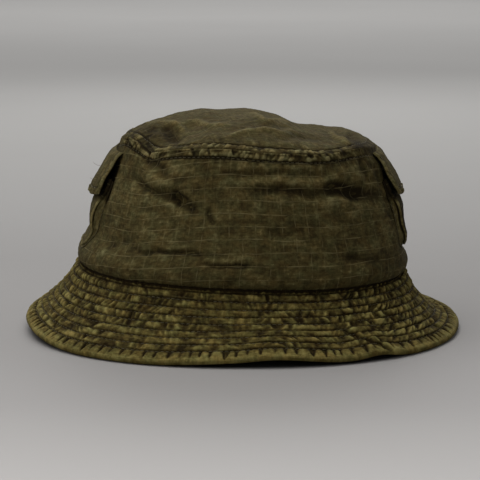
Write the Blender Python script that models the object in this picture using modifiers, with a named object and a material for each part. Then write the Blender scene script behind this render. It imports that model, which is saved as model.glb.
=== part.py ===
"""Ripstop bucket hat with a bellows pocket and flap on each side.

Blender 4.5, metres, +Z up.  The hat stands on its brim at z = 0, its crown
centred on the Z axis, its front towards -Y, its pockets at -X (left) and +X
(right).  Every cloth piece is its own sheet solid, with a small gap between
the plies that are sewn together.
"""

import math

import bmesh
import bpy
import numpy as np
from mathutils import Matrix, Vector

# ---------------------------------------------------------------- dimensions
MM = 0.001
TURN = 48                      # facets in a full turn, shared by all nested plies
PLAN_EXPONENT = 2.25           # the plan is a slightly squared ellipse

RIM_A, RIM_B = 130.5 * MM, 133.5 * MM       # brim edge, half width and half depth
SEAM_A, SEAM_B = 97.0 * MM, 100.0 * MM      # crown to brim seam

# the crown wall's outer face from the brim seam (0) to the top seam (1): height share, half width
# (drawn in where the pockets' low edges are sewn), half depth, and how far the soft crown leans to +X
WALL_PROFILE = ((0.00, 97.0, 100.0, -1.2), (0.08, 98.9, 102.3, -0.9), (0.17, 96.6, 100.4, -0.2),
                (0.26, 92.3, 97.4, 1.0), (0.37, 90.0, 94.2, 1.9), (0.50, 87.6, 90.6, 2.4),
                (0.62, 84.8, 87.6, 2.5), (0.80, 80.7, 83.6, 2.8), (1.00, 76.4, 79.4, 4.0))

SEAM_Z = (36.8, -4.3, -0.6, -0.9)           # mean, cos, sin and sin 2 terms of the brim seam's height
TOP_Z = (110.5, -2.0, -0.8)                 # mean, cos and sin terms of the top seam's height
DOME_RISE = 16.0 * MM
DOME_SHIFT = -16.0 * MM                     # where the soft dome peaks, along X

CLOTH = 0.7 * MM                            # ripstop cotton ply
CANVAS = 0.8 * MM                           # brim interlining
GAP = 0.35 * MM                             # between sewn plies
THREAD = 0.3 * MM                           # half the thickness of a stitched thread row

SLOPE_IN, SLOPE_OUT = 54.0, 30.0            # brim slope at the seam and at the edge, degrees
STITCH_ROWS = 8
ROW_FIRST, ROW_PITCH = 8.5 * MM, 5.0 * MM   # first row from the brim edge, and row spacing

SWEATBAND_TALL, SWEATBAND_THICK = 28.0 * MM, 1.0 * MM
TAPE_HALF = 6.0 * MM                        # crown seam tape, each side of the seam
TOPSTITCH = 4.5 * MM                        # crown topstitching, each side of the seam

POCKET_HALF = 36.0 * MM
POCKET_LOW, POCKET_HIGH = 50.0 * MM, 91.0 * MM
POCKET_CORNER = 14.0 * MM
POCKET_DEPTH = 4.2 * MM                     # wall to the inside of the pocket front, at its low edge
MOUTH_DEPTH = 1.9 * MM                      # and at its mouth, held down by the flap
BELLOWS_FOLD = 0.6 * MM                     # how far the gusset folds into the pocket
FLAP_HALF = 37.5 * MM
FLAP_HIGH, FLAP_LOW = 106.0 * MM, 78.5 * MM
FLAP_LIFT = 1.6 * MM                        # facing's inner face from the wall, at the sewn edge: it clears the topstitching
FLAP_STAND = 8.6 * MM                       # facing's inner face from the wall, at the flap's low edge
FLAP_BOW = 6.0 * MM                         # how much the low edge bows in towards its ends
FLAP_PLY = 0.6 * MM
TAPE_W, TAPE_T = 15.0 * MM, 0.6 * MM        # hook and loop patches, half width and thickness
TAPE_LOW, TAPE_HIGH = 80.2 * MM, 88.0 * MM

CLOTH_GREEN = (0.060, 0.050, 0.024)
UNDER_GREEN = (0.050, 0.043, 0.022)
THREAD_GREEN = (0.085, 0.075, 0.036)


# ---------------------------------------------------------------- scene and materials
for old in list(bpy.data.objects):
    bpy.data.objects.remove(old, do_unlink=True)
hat = bpy.data.collections.new("bucket_hat")
helpers = bpy.data.collections.new("cutters")
bpy.context.scene.collection.children.link(hat)
bpy.context.scene.collection.children.link(helpers)


def material(name, colour, roughness):
    made = bpy.data.materials.new(name)
    made.use_nodes = True
    shader = made.node_tree.nodes["Principled BSDF"]
    shader.inputs["Base Color"].default_value = (*colour, 1.0)
    shader.inputs["Roughness"].default_value = roughness
    shader.inputs["Metallic"].default_value = 0.0
    return made


# ---------------------------------------------------------------- surfaces of the hat
def plan_radius(theta, a, b):
    """Distance from the axis to a squared ellipse with half axes a and b."""
    c, s = abs(math.cos(theta)), abs(math.sin(theta))
    return ((c / a) ** PLAN_EXPONENT + (s / b) ** PLAN_EXPONENT) ** (-1.0 / PLAN_EXPONENT)


def seam_z(theta):
    m, c, s, s2 = SEAM_Z
    return (m + c * math.cos(theta) + s * math.sin(theta) + s2 * math.sin(2 * theta)) * MM


def top_z(theta):
    m, c, s = TOP_Z
    return (m + c * math.cos(theta) + s * math.sin(theta)) * MM


_profile = np.array(WALL_PROFILE)


def _wall_value(t, column):
    """A column of the wall's profile at height share t, smoothed between its points."""
    spread = 0.05
    shares = np.clip(np.linspace(t - spread, t + spread, 9), 0.0, 1.0)
    return float(np.interp(shares, _profile[:, 0], _profile[:, column]).mean()) * MM


def wall_half(t):
    return _wall_value(t, 1)


def wall_deep(t):
    return _wall_value(t, 2)


def lean(t):
    return _wall_value(t, 3)


def wall_face(theta, t):
    r = plan_radius(theta, wall_half(t), wall_deep(t))
    z0, z1 = seam_z(theta), top_z(theta)
    return np.array((lean(t) + r * math.cos(theta), r * math.sin(theta), z0 + (z1 - z0) * t))


def offset(surface, u, v, out, step=1e-3):
    """A point on surface(u, v), moved out along its normal.  u runs anticlockwise seen from above, v upwards or inwards."""
    du = surface(u + step, v) - surface(u - step, v)
    dv = surface(u, min(v + step, 1.0)) - surface(u, max(v - step, 0.0))
    normal = np.cross(du, dv)
    return surface(u, v) + normal / np.linalg.norm(normal) * out


def wall(theta, t, out=0.0):
    return offset(wall_face, theta, t, out)


def crown_top_face(theta, rho):
    """The domed top, rho 1 at the seam and 0 in the middle, with its peak shifted along X."""
    rim = wall_face(theta, 1.0)
    r = rho
    x = lean(1.0) + (rim[0] - lean(1.0)) * r + DOME_SHIFT * (1 - r * r) * 0.6
    y = rim[1] * r
    rise = DOME_RISE * (1 - r ** 2.4)
    edge = top_z(theta) * r + TOP_Z[0] * MM * (1 - r)
    return np.array((x, y, edge + rise))


def crown_top(theta, rho, out=0.0):
    """As wall(), but v runs inwards, so that the normal points up."""
    if rho < 0.02:
        return crown_top_face(0.0, 0.0) + np.array((0, 0, out))
    return offset(lambda a, v: crown_top_face(a, 1.0 - v), theta, 1.0 - rho, out)


_s = np.linspace(0.0, 1.0, 201)
_phi = np.radians(SLOPE_IN + (SLOPE_OUT - SLOPE_IN) * _s)
_run = np.concatenate(([0], np.cumsum(np.cos((_phi[1:] + _phi[:-1]) / 2))))
_fall = np.concatenate(([0], np.cumsum(np.sin((_phi[1:] + _phi[:-1]) / 2))))
_run, _fall = _run / _run[-1], _fall / _fall[-1]
BRIM_WIDE = math.hypot(RIM_A - SEAM_A, SEAM_Z[0] * MM) * 1.01
EDGE_Z = 2.10 * MM                          # height of the brim's upper face at its edge
BASE_LEAN = WALL_PROFILE[0][3] * MM
SEAM_STEP = 0.7 * MM                        # the brim's upper face starts this far under the crown wall


def brim_face(theta, u):
    """The brim's upper face, u 0 at the seam and 1 at the edge."""
    run, fall = np.interp(u, _s, _run), np.interp(u, _s, _fall)
    a = SEAM_A - 0.6 * MM + (RIM_A - SEAM_A + 0.6 * MM) * run
    b = SEAM_B - 0.6 * MM + (RIM_B - SEAM_B + 0.6 * MM) * run
    r = plan_radius(theta, a, b)
    z0 = seam_z(theta) - SEAM_STEP
    return np.array((BASE_LEAN * (1 - run) + r * math.cos(theta), r * math.sin(theta), z0 + (EDGE_Z - z0) * fall))


def brim(theta, u, out=0.0):
    return offset(lambda a, v: brim_face(a, 1.0 - v), theta, 1.0 - u, out)


def side_face(sign, y, z):
    """The crown wall on one side, at depth y and height z."""
    theta = math.asin(max(-1.0, min(1.0, y / (88 * MM))))
    if sign < 0:
        theta = math.pi - theta
    t = 0.5
    for _ in range(25):
        z0, z1 = seam_z(theta), top_z(theta)
        t = min(max((z - z0) / (z1 - z0), -0.05), 1.05)
        here = wall_face(theta, t)
        theta += (y - here[1]) / (85 * MM) * (1 if sign > 0 else -1)
    x = wall_half(t) * (1 - abs(y / wall_deep(t)) ** PLAN_EXPONENT) ** (1 / PLAN_EXPONENT)
    return np.array((lean(t) + sign * x, y, z))


def side(sign, y, z, out=0.0, step=5e-4):
    dy = side_face(sign, y + step, z) - side_face(sign, y - step, z)
    dz = side_face(sign, y, z + step) - side_face(sign, y, z - step)
    normal = np.cross(dy, dz) * sign
    return side_face(sign, y, z) + normal / np.linalg.norm(normal) * out


# ---------------------------------------------------------------- makers
def finish(obj, mat, pivot=None, parent=None):
    hat.objects.link(obj)
    obj.data.materials.append(mat)
    if parent is not None:
        obj.parent = parent
    return obj


def sheet(name, nu, nv, surface, thick, grow, mat, closed=False, pivot=None, parent=None):
    """A grid bent onto surface(u, v), u and v from 0 to 1, and thickened: grow 1 outwards, -1 inwards."""
    bm = bmesh.new()
    bmesh.ops.create_grid(bm, x_segments=nu, y_segments=nv, size=0.5)
    for v in bm.verts:
        v.co = Vector(surface(v.co.x + 0.5, v.co.y + 0.5)) - (pivot or Vector())
    if closed:
        bmesh.ops.remove_doubles(bm, verts=bm.verts, dist=2e-6)
    mesh = bpy.data.meshes.new(name)
    bm.to_mesh(mesh)
    bm.free()
    obj = bpy.data.objects.new(name, mesh)
    thicken = obj.modifiers.new("cloth", "SOLIDIFY")
    thicken.thickness = thick
    thicken.offset = grow
    thicken.use_even_offset = True
    thicken.use_quality_normals = True
    finish(obj, mat, pivot, parent)
    mesh.shade_smooth()
    mesh.set_sharp_from_angle(angle=math.radians(40))
    return obj


def thread(name, points, mat, closed, pivot=None, parent=None, radius=THREAD):
    """A sewn thread row, drawn as one thin cord on the cloth's face."""
    curve = bpy.data.curves.new(name, "CURVE")
    curve.dimensions = "3D"
    curve.fill_mode = "FULL"
    curve.bevel_depth = radius
    curve.bevel_resolution = 0
    curve.use_fill_caps = True
    line = curve.splines.new("POLY")
    line.points.add(len(points) - 1)
    for p, co in zip(line.points, points):
        p.co = (*(Vector(co) - (pivot or Vector())), 1.0)
    line.use_cyclic_u = closed
    obj = bpy.data.objects.new(name, curve)
    return finish(obj, mat, pivot, parent)


def arc(u, start, end):
    return start + (end - start) * u


cloth = material("ripstop_olive", CLOTH_GREEN, 0.95)
under = material("ripstop_olive_inside", UNDER_GREEN, 0.95)
twill = material("twill_tape", (0.072, 0.062, 0.034), 0.9)
canvas = material("canvas_interlining", (0.35, 0.32, 0.26), 0.95)
cord = material("sewing_thread", THREAD_GREEN, 0.7)
hook = material("hook_and_loop", (0.030, 0.028, 0.018), 0.85)

# ---------------------------------------------------------------- crown
HALF_TURN = TURN // 2
SEAM_SLIT = math.radians(0.15)              # half the gap at a side seam
FRONT = (-math.pi + SEAM_SLIT, -SEAM_SLIT)
REAR = (SEAM_SLIT, math.pi - SEAM_SLIT)

for name, (start, end) in (("crown_front_panel", FRONT), ("crown_rear_panel", REAR)):
    sheet(name, HALF_TURN, 7, lambda u, v, s=start, e=end: wall(arc(u, s, e), v * 0.992), CLOTH, -1, cloth)

sheet("crown_top_panel", TURN, 5, lambda u, v: crown_top(2 * math.pi * u, 1.0 - v, 0.0) if v < 1 else crown_top(0, 0),
      CLOTH, -1, cloth, closed=True)


def tape_face(theta, v):
    """The inside of the top seam: up the wall's inside, then round onto the top panel's underside."""
    inside = CLOTH + GAP + 0.4 * MM
    if v <= 0.5:
        return wall(theta, 1.0 - (0.115 - 0.075 * v / 0.5) + 0.0, -inside)
    rho = 0.972 - 0.075 * (v - 0.5) / 0.5
    return crown_top(theta, rho, -(CLOTH + GAP))


sheet("crown_seam_tape", TURN, 3, lambda u, v: tape_face(2 * math.pi * u, v), 0.6 * MM, -1, twill, closed=True)

turn_points = [2 * math.pi * k / TURN for k in range(TURN)]
hover = THREAD + GAP
thread("crown_lower_stitch_row", [wall(a, 0.938, hover) for a in turn_points], cord, True)
thread("crown_upper_stitch_row", [crown_top(a, 1 - TOPSTITCH / (78 * MM), hover) for a in turn_points], cord, True)

sweat_gap = CLOTH + GAP + 0.15 * MM
sheet("sweatband", TURN, 3, lambda u, v: wall(arc(u, math.radians(90.3), math.radians(449.7)), 0.02 + v * SWEATBAND_TALL / (74 * MM), -sweat_gap),
      SWEATBAND_THICK, -1, twill)

# ---------------------------------------------------------------- brim
for name, (start, end) in (("brim_top_front", FRONT), ("brim_top_rear", REAR)):
    sheet(name, HALF_TURN, 6, lambda u, v, s=start, e=end: brim(arc(u, s, e), 1 - v), CLOTH, -1, cloth)

lining_depth = CLOTH + GAP
sheet("brim_interlining", TURN, 4, lambda u, v: brim(2 * math.pi * u, 0.955 - 0.905 * v, -lining_depth),
      CANVAS, -1, canvas, closed=True)

under_depth = lining_depth + CANVAS + GAP
cutter_mesh = bpy.data.meshes.new("table_cutter")
bm = bmesh.new()
bmesh.ops.create_cube(bm, size=1.0, matrix=Matrix.Translation((0, 0, -0.010)) @ Matrix.Diagonal((0.4, 0.4, 0.020, 1)))
bm.to_mesh(cutter_mesh)
bm.free()
table = bpy.data.objects.new("table_cutter", cutter_mesh)
table.hide_render = True
table.display_type = "WIRE"
helpers.objects.link(table)

for name, (start, end) in (("brim_under_front", FRONT), ("brim_under_rear", REAR)):
    ply = sheet(name, HALF_TURN, 6, lambda u, v, s=start, e=end: brim(arc(u, s, e), 1 - v, -under_depth), CLOTH, -1, under)
    flat = ply.modifiers.new("resting_edge", "BOOLEAN")
    flat.operation = "DIFFERENCE"
    flat.solver = "EXACT"
    flat.object = table

SPIRAL_LIFT = 0.15 * MM                     # its straight pieces cut the brim's curve
# one continuous thread spirals over the brim, as it is sewn
spiral = []
SPIRAL_TURN = 36
for k in range(STITCH_ROWS * SPIRAL_TURN + 1):
    inward = ROW_FIRST + ROW_PITCH * k / SPIRAL_TURN
    spiral.append(brim(math.pi / 2 + 2 * math.pi * k / SPIRAL_TURN, 1 - inward / BRIM_WIDE, hover + SPIRAL_LIFT))
thread("brim_spiral_stitch", spiral, cord, False)


# ---------------------------------------------------------------- pockets and flaps
def pocket_half_at(z, half=POCKET_HALF, low=POCKET_LOW, corner=POCKET_CORNER):
    """Half width of the pocket outline at height z, with rounded low corners."""
    rise = z - low
    if rise >= corner:
        return half
    return half - corner + math.sqrt(max(corner ** 2 - (corner - rise) ** 2, 0.0))


def pocket_depth(z):
    share = (z - POCKET_LOW) / (POCKET_HIGH - POCKET_LOW)
    return POCKET_DEPTH - (POCKET_DEPTH - MOUTH_DEPTH) * max(share, 0.0) ** 2


def u_path(inset, high, count):
    """Points (y, z) down one side of the pocket, round its low corners and up the other."""
    half, low, corner = POCKET_HALF - inset, POCKET_LOW + inset, POCKET_CORNER - inset
    down = high - low - corner
    bend = corner * math.pi / 2
    across = 2 * (half - corner)
    total = 2 * down + 2 * bend + across
    points = []
    for k in range(count):
        s = total * k / (count - 1)
        mirror = s > total / 2
        if mirror:
            s = total - s
        if s <= down:
            y, z = -half, high - s
        elif s <= down + bend:
            a = (s - down) / corner
            y, z = -half + corner - corner * math.cos(a), low + corner - corner * math.sin(a)
        else:
            y, z = -half + corner + (s - down - bend), low
        points.append((-y if mirror else y, z))
    return points


def flap_inner(sign, y, v):
    """The facing's inner face, v 0 at its sewn high edge and 1 at its free low edge."""
    z = FLAP_HIGH + (FLAP_LOW - FLAP_HIGH) * v
    high = side(sign, y, FLAP_HIGH, FLAP_LIFT)
    low_mid = side(sign, 0.0, FLAP_LOW, FLAP_STAND)
    low_x = low_mid[0] - sign * FLAP_BOW * (y / FLAP_HALF) ** 2
    x = high[0] + (low_x - high[0]) * v * (1.35 - 0.35 * v)
    return np.array((x, y, z))


def flap_face(sign, y, v, out, step=5e-3):
    """The flap, moved out along its normal from the facing's inner face."""
    dy = flap_inner(sign, y + 5e-4, v) - flap_inner(sign, y - 5e-4, v)
    dz = flap_inner(sign, y, v - step) - flap_inner(sign, y, v + step)
    normal = np.cross(dy, dz) * sign
    return flap_inner(sign, y, v) + normal / np.linalg.norm(normal) * out


for label, sign in (("left", -1), ("right", 1)):
    pocket_axis = Vector(side(sign, 0.0, POCKET_LOW, POCKET_DEPTH + CLOTH))
    flap_axis = Vector(flap_face(sign, 0.0, 0.0, FLAP_PLY))
    pocket_axis.y = flap_axis.y = 0.0
    pocket_pivot = bpy.data.objects.new(label + "_pocket_pivot", None)
    pocket_pivot.location = pocket_axis
    flap_pivot = bpy.data.objects.new(label + "_flap_pivot", None)
    flap_pivot.location = flap_axis
    hat.objects.link(pocket_pivot)
    hat.objects.link(flap_pivot)
    print(label, "pocket axis", tuple(round(c, 5) for c in pocket_axis), "flap axis", tuple(round(c, 5) for c in flap_axis))

    # u runs so that the sheet's normal points away from the hat on both sides
    across = 1 if sign > 0 else -1

    path = u_path(1.0 * MM, POCKET_HIGH - 1.5 * MM, 31)
    if sign < 0:
        path = path[::-1]

    def gusset(u, v, sign=sign, path=path):
        k = int(round(u * (len(path) - 1)))
        y, z = path[k]
        pull = BELLOWS_FOLD * math.sin(math.pi * v)
        centre_y, centre_z = 0.0, POCKET_HIGH
        away = math.hypot(y - centre_y, z - centre_z)
        y += (centre_y - y) / away * pull
        z += (centre_z - z) / away * pull
        return side(sign, y, z, 0.55 * MM + max(pocket_depth(z) - 1.35 * MM, 0.2 * MM) * v)

    sheet(label + "_pocket_gusset", 30, 4, gusset, 0.6 * MM, -1, cloth)
    thread(label + "_pocket_stitch_row",
           [side(sign, y, z, THREAD + GAP) for y, z in u_path(-1.6 * MM, POCKET_HIGH - 4 * MM, 25)], cord, False, radius=0.25 * MM)

    def front(u, v, sign=sign, across=across):
        z = POCKET_LOW + (POCKET_HIGH - POCKET_LOW) * v ** 1.15
        return side(sign, across * (2 * u - 1) * pocket_half_at(z), z, pocket_depth(z))

    sheet(label + "_pocket_front", 12, 8, front, CLOTH, 1, cloth, pivot=pocket_axis, parent=pocket_pivot)

    def loops(u, v, sign=sign, across=across):
        z = TAPE_LOW + (TAPE_HIGH - TAPE_LOW) * v
        return side(sign, across * (2 * u - 1) * TAPE_W, z, pocket_depth(z) + CLOTH + 0.25 * MM)

    sheet(label + "_pocket_loop_tape", 4, 2, loops, TAPE_T, 1, hook, pivot=pocket_axis, parent=pocket_pivot)

    def ply(u, v, out, sign=sign, across=across):
        return flap_face(sign, across * (2 * u - 1) * FLAP_HALF, 1 - v, out)

    sheet(label + "_flap_facing", 12, 5, lambda u, v, f=ply: f(u, v, 0.0), FLAP_PLY, 1, under, pivot=flap_axis, parent=flap_pivot)
    sheet(label + "_flap_outer", 12, 5, lambda u, v, f=ply: f(u, v, FLAP_PLY + 0.25 * MM), FLAP_PLY, 1, cloth, pivot=flap_axis, parent=flap_pivot)

    def hooks(u, v, sign=sign, across=across):
        z = TAPE_LOW + (TAPE_HIGH - TAPE_LOW) * v
        return flap_face(sign, across * (2 * u - 1) * TAPE_W, (FLAP_HIGH - z) / (FLAP_HIGH - FLAP_LOW), -0.3 * MM)

    sheet(label + "_flap_hook_tape", 4, 2, hooks, TAPE_T, -1, hook, pivot=flap_axis, parent=flap_pivot)

    edge = 4.0 * MM
    rows = []
    span = 1 - edge / (FLAP_HIGH - FLAP_LOW)
    for k in range(7):
        rows.append((-(FLAP_HALF - edge), 0.12 + (span - 0.12) * k / 6))
    for k in range(1, 13):
        rows.append((-(FLAP_HALF - edge) + 2 * (FLAP_HALF - edge) * k / 12, span))
    for k in range(1, 7):
        rows.append((FLAP_HALF - edge, span - (span - 0.12) * k / 6))
    stand = 2 * FLAP_PLY + 0.25 * MM + 0.6 * MM
    thread(label + "_flap_stitch_row", [flap_face(sign, y, v, stand) for y, v in rows], cord, False,
           pivot=flap_axis, parent=flap_pivot, radius=0.25 * MM)
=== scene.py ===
import math

import bpy
import numpy as np
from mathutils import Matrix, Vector


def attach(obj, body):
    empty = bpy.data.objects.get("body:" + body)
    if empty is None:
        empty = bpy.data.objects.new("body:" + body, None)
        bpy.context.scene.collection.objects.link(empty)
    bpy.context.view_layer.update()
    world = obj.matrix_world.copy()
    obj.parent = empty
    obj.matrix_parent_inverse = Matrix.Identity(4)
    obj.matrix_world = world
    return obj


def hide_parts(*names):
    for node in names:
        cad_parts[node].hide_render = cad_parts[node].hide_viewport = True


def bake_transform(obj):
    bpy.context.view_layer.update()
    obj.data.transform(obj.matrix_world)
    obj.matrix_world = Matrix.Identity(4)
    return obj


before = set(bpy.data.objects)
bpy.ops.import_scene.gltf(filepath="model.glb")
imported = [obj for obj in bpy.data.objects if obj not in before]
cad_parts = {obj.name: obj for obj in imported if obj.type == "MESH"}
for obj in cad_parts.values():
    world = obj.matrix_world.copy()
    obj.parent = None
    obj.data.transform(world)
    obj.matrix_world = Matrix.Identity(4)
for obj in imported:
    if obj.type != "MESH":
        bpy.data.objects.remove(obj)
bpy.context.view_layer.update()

MM = 0.001
FINE = 1.0          # mesh density while trying things

# ---------------------------------------------------------------- the hat's own measures, as in the CAD
N_PLAN = 2.25
RIM_A, RIM_B = 130.5 * MM, 133.5 * MM
SEAM_A, SEAM_B = 97.0 * MM, 100.0 * MM
# share of the wall's height, half width, half depth, lean
PROFILE = np.array(((0.00, 97.0, 100.0, -1.2), (0.08, 98.6, 102.3, -0.3), (0.17, 95.4, 100.2, 1.0),
                    (0.26, 91.4, 97.2, 1.9), (0.37, 89.8, 94.2, 2.1), (0.50, 87.6, 90.6, 2.4),
                    (0.62, 84.4, 87.4, 2.5), (0.80, 79.9, 83.2, 2.6), (1.00, 74.8, 78.6, 3.4)))
LEAN_BASE, LEAN_TOP = -1.2 * MM, 3.4 * MM
BRIM_WIDE = math.hypot(RIM_A - SEAM_A, 36.8 * MM) * 1.01
EDGE_Z = 2.1 * MM
CLOTH = 0.7 * MM
ROW_FIRST, ROW_PITCH, ROWS = 8.5 * MM, 5.0 * MM, 8
POCKET_HALF, POCKET_LOW, POCKET_HIGH, POCKET_CORNER = 36 * MM, 50 * MM, 91 * MM, 14 * MM
FLAP_HALF, FLAP_HIGH, FLAP_LOW = 37.5 * MM, 106 * MM, 78.5 * MM


# ---------------------------------------------------------------- noise
def _hash(i, j, k, seed):
    h = (i * 374761393 + j * 668265263 + k * 2147483647 + seed * 1274126177 + 97) & 0xFFFFFFFF
    h = ((h ^ (h >> 13)) * 1274126177) & 0xFFFFFFFF
    h = ((h ^ (h >> 15)) * 2246822519) & 0xFFFFFFFF
    return ((h ^ (h >> 16)) & 0xFFFFFF) / float(0x1000000)


def noise2(x, y, seed=0, period=0):
    """Gradient noise of about -1 to 1; period wraps x."""
    xi, yi = np.floor(x).astype(np.int64), np.floor(y).astype(np.int64)
    xf, yf = x - xi, y - yi
    u, v = xf ** 3 * (xf * (xf * 6 - 15) + 10), yf ** 3 * (yf * (yf * 6 - 15) + 10)

    def corner(dx, dy):
        ix = (xi + dx) % period if period else xi + dx
        a = _hash(ix, yi + dy, 0, seed) * 2 * math.pi
        return np.cos(a) * (xf - dx) + np.sin(a) * (yf - dy)

    low = corner(0, 0) * (1 - u) + corner(1, 0) * u
    high = corner(0, 1) * (1 - u) + corner(1, 1) * u
    return (low * (1 - v) + high * v) * 1.5


def noise3(p, scale, seed=0):
    """Gradient noise over space; scale is the wavelength, one number or three."""
    q = p / np.asarray(scale)
    i = np.floor(q).astype(np.int64)
    f = q - i
    w = f ** 3 * (f * (f * 6 - 15) + 10)
    total = 0.0
    for dx in (0, 1):
        for dy in (0, 1):
            for dz in (0, 1):
                a = _hash(i[..., 0] + dx, i[..., 1] + dy, i[..., 2] + dz, seed) * 2 * math.pi
                c = _hash(i[..., 0] + dx, i[..., 1] + dy, i[..., 2] + dz, seed + 31) * 2 - 1
                s = np.sqrt(1 - c * c)
                g = np.cos(a) * s * (f[..., 0] - dx) + np.sin(a) * s * (f[..., 1] - dy) + c * (f[..., 2] - dz)
                weight = (w[..., 0] if dx else 1 - w[..., 0]) * (w[..., 1] if dy else 1 - w[..., 1]) * (w[..., 2] if dz else 1 - w[..., 2])
                total = total + g * weight
    return total * 1.5


def smooth(x, a, b):
    t = np.clip((x - a) / (b - a), 0, 1)
    return t * t * (3 - 2 * t)


def bell(x, centre, width):
    return np.exp(-((x - centre) / width) ** 2)


def turn_bell(theta, centre_deg, width_deg):
    d = (np.degrees(theta) - centre_deg + 180) % 360 - 180
    return np.exp(-(d / width_deg) ** 2)


# ---------------------------------------------------------------- surfaces
def plan_radius(theta, a, b):
    c, s = np.abs(np.cos(theta)), np.abs(np.sin(theta))
    return ((c / a) ** N_PLAN + (s / b) ** N_PLAN) ** (-1 / N_PLAN)


def seam_z(theta):
    z = 36.8 - 4.3 * np.cos(theta) - 0.6 * np.sin(theta) - 0.9 * np.sin(2 * theta)
    z = z + 0.5 * turn_bell(theta, -115, 14) - 0.5 * turn_bell(theta, -62, 16) + 0.4 * turn_bell(theta, 60, 15)
    return z * MM


def top_z(theta):
    z = 110.5 - 2.0 * np.cos(theta) - 0.8 * np.sin(theta)
    z = z + 3.4 * turn_bell(theta, -153, 12) - 2.6 * turn_bell(theta, -132, 8) + 2.2 * turn_bell(theta, -102, 17)
    z = z - 0.5 * turn_bell(theta, -62, 8) + 1.6 * turn_bell(theta, -36, 12)
    z = z - 1.6 * turn_bell(theta, 70, 16) + 1.4 * turn_bell(theta, 118, 14)
    return z * MM


_T = np.linspace(-0.1, 1.1, 481)
_WALL = [np.convolve(np.pad(np.interp(_T, PROFILE[:, 0], PROFILE[:, k]), 20, mode="edge"),
                     np.hanning(41) / np.hanning(41).sum(), mode="valid") for k in (1, 2, 3)]


def wall_half(t):
    return np.interp(t, _T, _WALL[0]) * MM


def wall_deep(t):
    return np.interp(t, _T, _WALL[1]) * MM


def lean(t):
    return np.interp(t, _T, _WALL[2]) * MM


def square_out(theta, t):
    """The crown's right front corner stands squarer than the rest."""
    return 3.8 * MM * turn_bell(theta, -28, 13) * smooth(t, 0.05, 0.35) * (1 - 0.6 * smooth(t, 0.85, 1.0))


def wall_base(theta, t):
    r = plan_radius(theta, wall_half(t), wall_deep(t))
    z0, z1 = seam_z(theta), top_z(theta)
    return np.stack((lean(t) + r * np.cos(theta) + square_out(theta, t), r * np.sin(theta), z0 + (z1 - z0) * t), -1)


_D = np.array(((-80, 12.5), (-62, 13.5), (-50, 11.6), (-38, 13.6), (-30, 14.3), (-20, 16.1), (-14, 14.7), (-5, 14.6), (4, 15.8),
               (11, 15.4), (17, 13.6), (26, 11.2), (34, 7.6), (42, 6.4), (50, 6.8), (58, 7.2), (64, 9.8), (70, 10.4), (77, 8.4),
               (90, 6.6)))


def top_base(theta, rho):
    rim = wall_base(theta, np.ones_like(theta))
    cx = LEAN_TOP
    x = cx + (rim[..., 0] - cx) * rho
    y = rim[..., 1] * rho
    d = sum(np.interp(x / MM + k + 0.10 * y / MM, _D[:, 0], _D[:, 1]) for k in (-4, -2, 0, 2, 4)) / 5
    front = smooth(-y / MM, 0, 60)
    rise = d * (1 - rho ** (5.0 - 2.0 * front)) * MM
    edge = rim[..., 2] * rho ** 2 + 111.0 * MM * (1 - rho ** 2)
    return np.stack((x, y, edge + rise), -1)


_S = np.linspace(0, 1, 201)
_PHI = np.radians(54.0 + (30.0 - 54.0) * _S)
_RUN = np.concatenate(([0], np.cumsum(np.cos((_PHI[1:] + _PHI[:-1]) / 2))))
_FALL = np.concatenate(([0], np.cumsum(np.sin((_PHI[1:] + _PHI[:-1]) / 2))))
_RUN, _FALL = _RUN / _RUN[-1], _FALL / _FALL[-1]


# degrees, millimetres
_RIM = np.array(((-180, 4.6), (-171, 4.6), (-162, 4.4), (-154, 3.2), (-146, 1.6), (-136, 0.3), (-112, 0.0), (-104, 0.9), (-97, 1.8),
                 (-90, 2.6), (-83, 4.4), (-76, 3.4), (-67, 1.2), (-61, 1.2), (-55, 3.4), (-50, 1.0), (-45, 0.0), (-27, 0.0),
                 (-16, 1.0), (-4, 1.2), (20, 0.4), (45, 0.2), (65, 0.0), (90, 2.2), (115, 0.2), (140, 1.4), (160, 3.4), (180, 4.6)))


def rim_wave(theta):
    """How far the soft brim's edge stands above the table, beyond the CAD's even edge."""
    deg = (np.degrees(theta) + 180) % 360 - 180
    w = 0
    for shift in (-3, -1.5, 0, 1.5, 3):
        w = w + np.interp((deg + shift + 180) % 360 - 180, _RIM[:, 0], _RIM[:, 1]) / 5
    return w * MM


def brim_base(theta, u):
    run, fall = np.interp(u, _S, _RUN), np.interp(u, _S, _FALL)
    a = SEAM_A - 0.6 * MM + (RIM_A - SEAM_A + 0.6 * MM) * run
    b = SEAM_B - 0.6 * MM + (RIM_B - SEAM_B + 0.6 * MM) * run
    r = plan_radius(theta, a, b)
    z0 = seam_z(theta) - 0.7 * MM
    z = z0 + (EDGE_Z - z0) * fall + rim_wave(theta) * smooth(u, 0.15, 1.0)
    z = z + 3.2 * MM * bell(u, 0.10, 0.09) * turn_bell(theta, 4, 30) - 5.0 * MM * bell(u, 0.56, 0.26) * turn_bell(theta, 18, 30)
    pinch = turn_bell(theta, -57, 5) * bell(u, 0.72, 0.30)
    r = r - 1.5 * MM * pinch
    return np.stack((LEAN_BASE * (1 - run) + r * np.cos(theta), r * np.sin(theta), z), -1)


def normals(p, flip=False):
    du = np.gradient(p, axis=0)
    dv = np.gradient(p, axis=1)
    n = np.cross(du, dv)
    n /= np.maximum(np.linalg.norm(n, axis=-1, keepdims=True), 1e-12)
    return -n if flip else n


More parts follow.
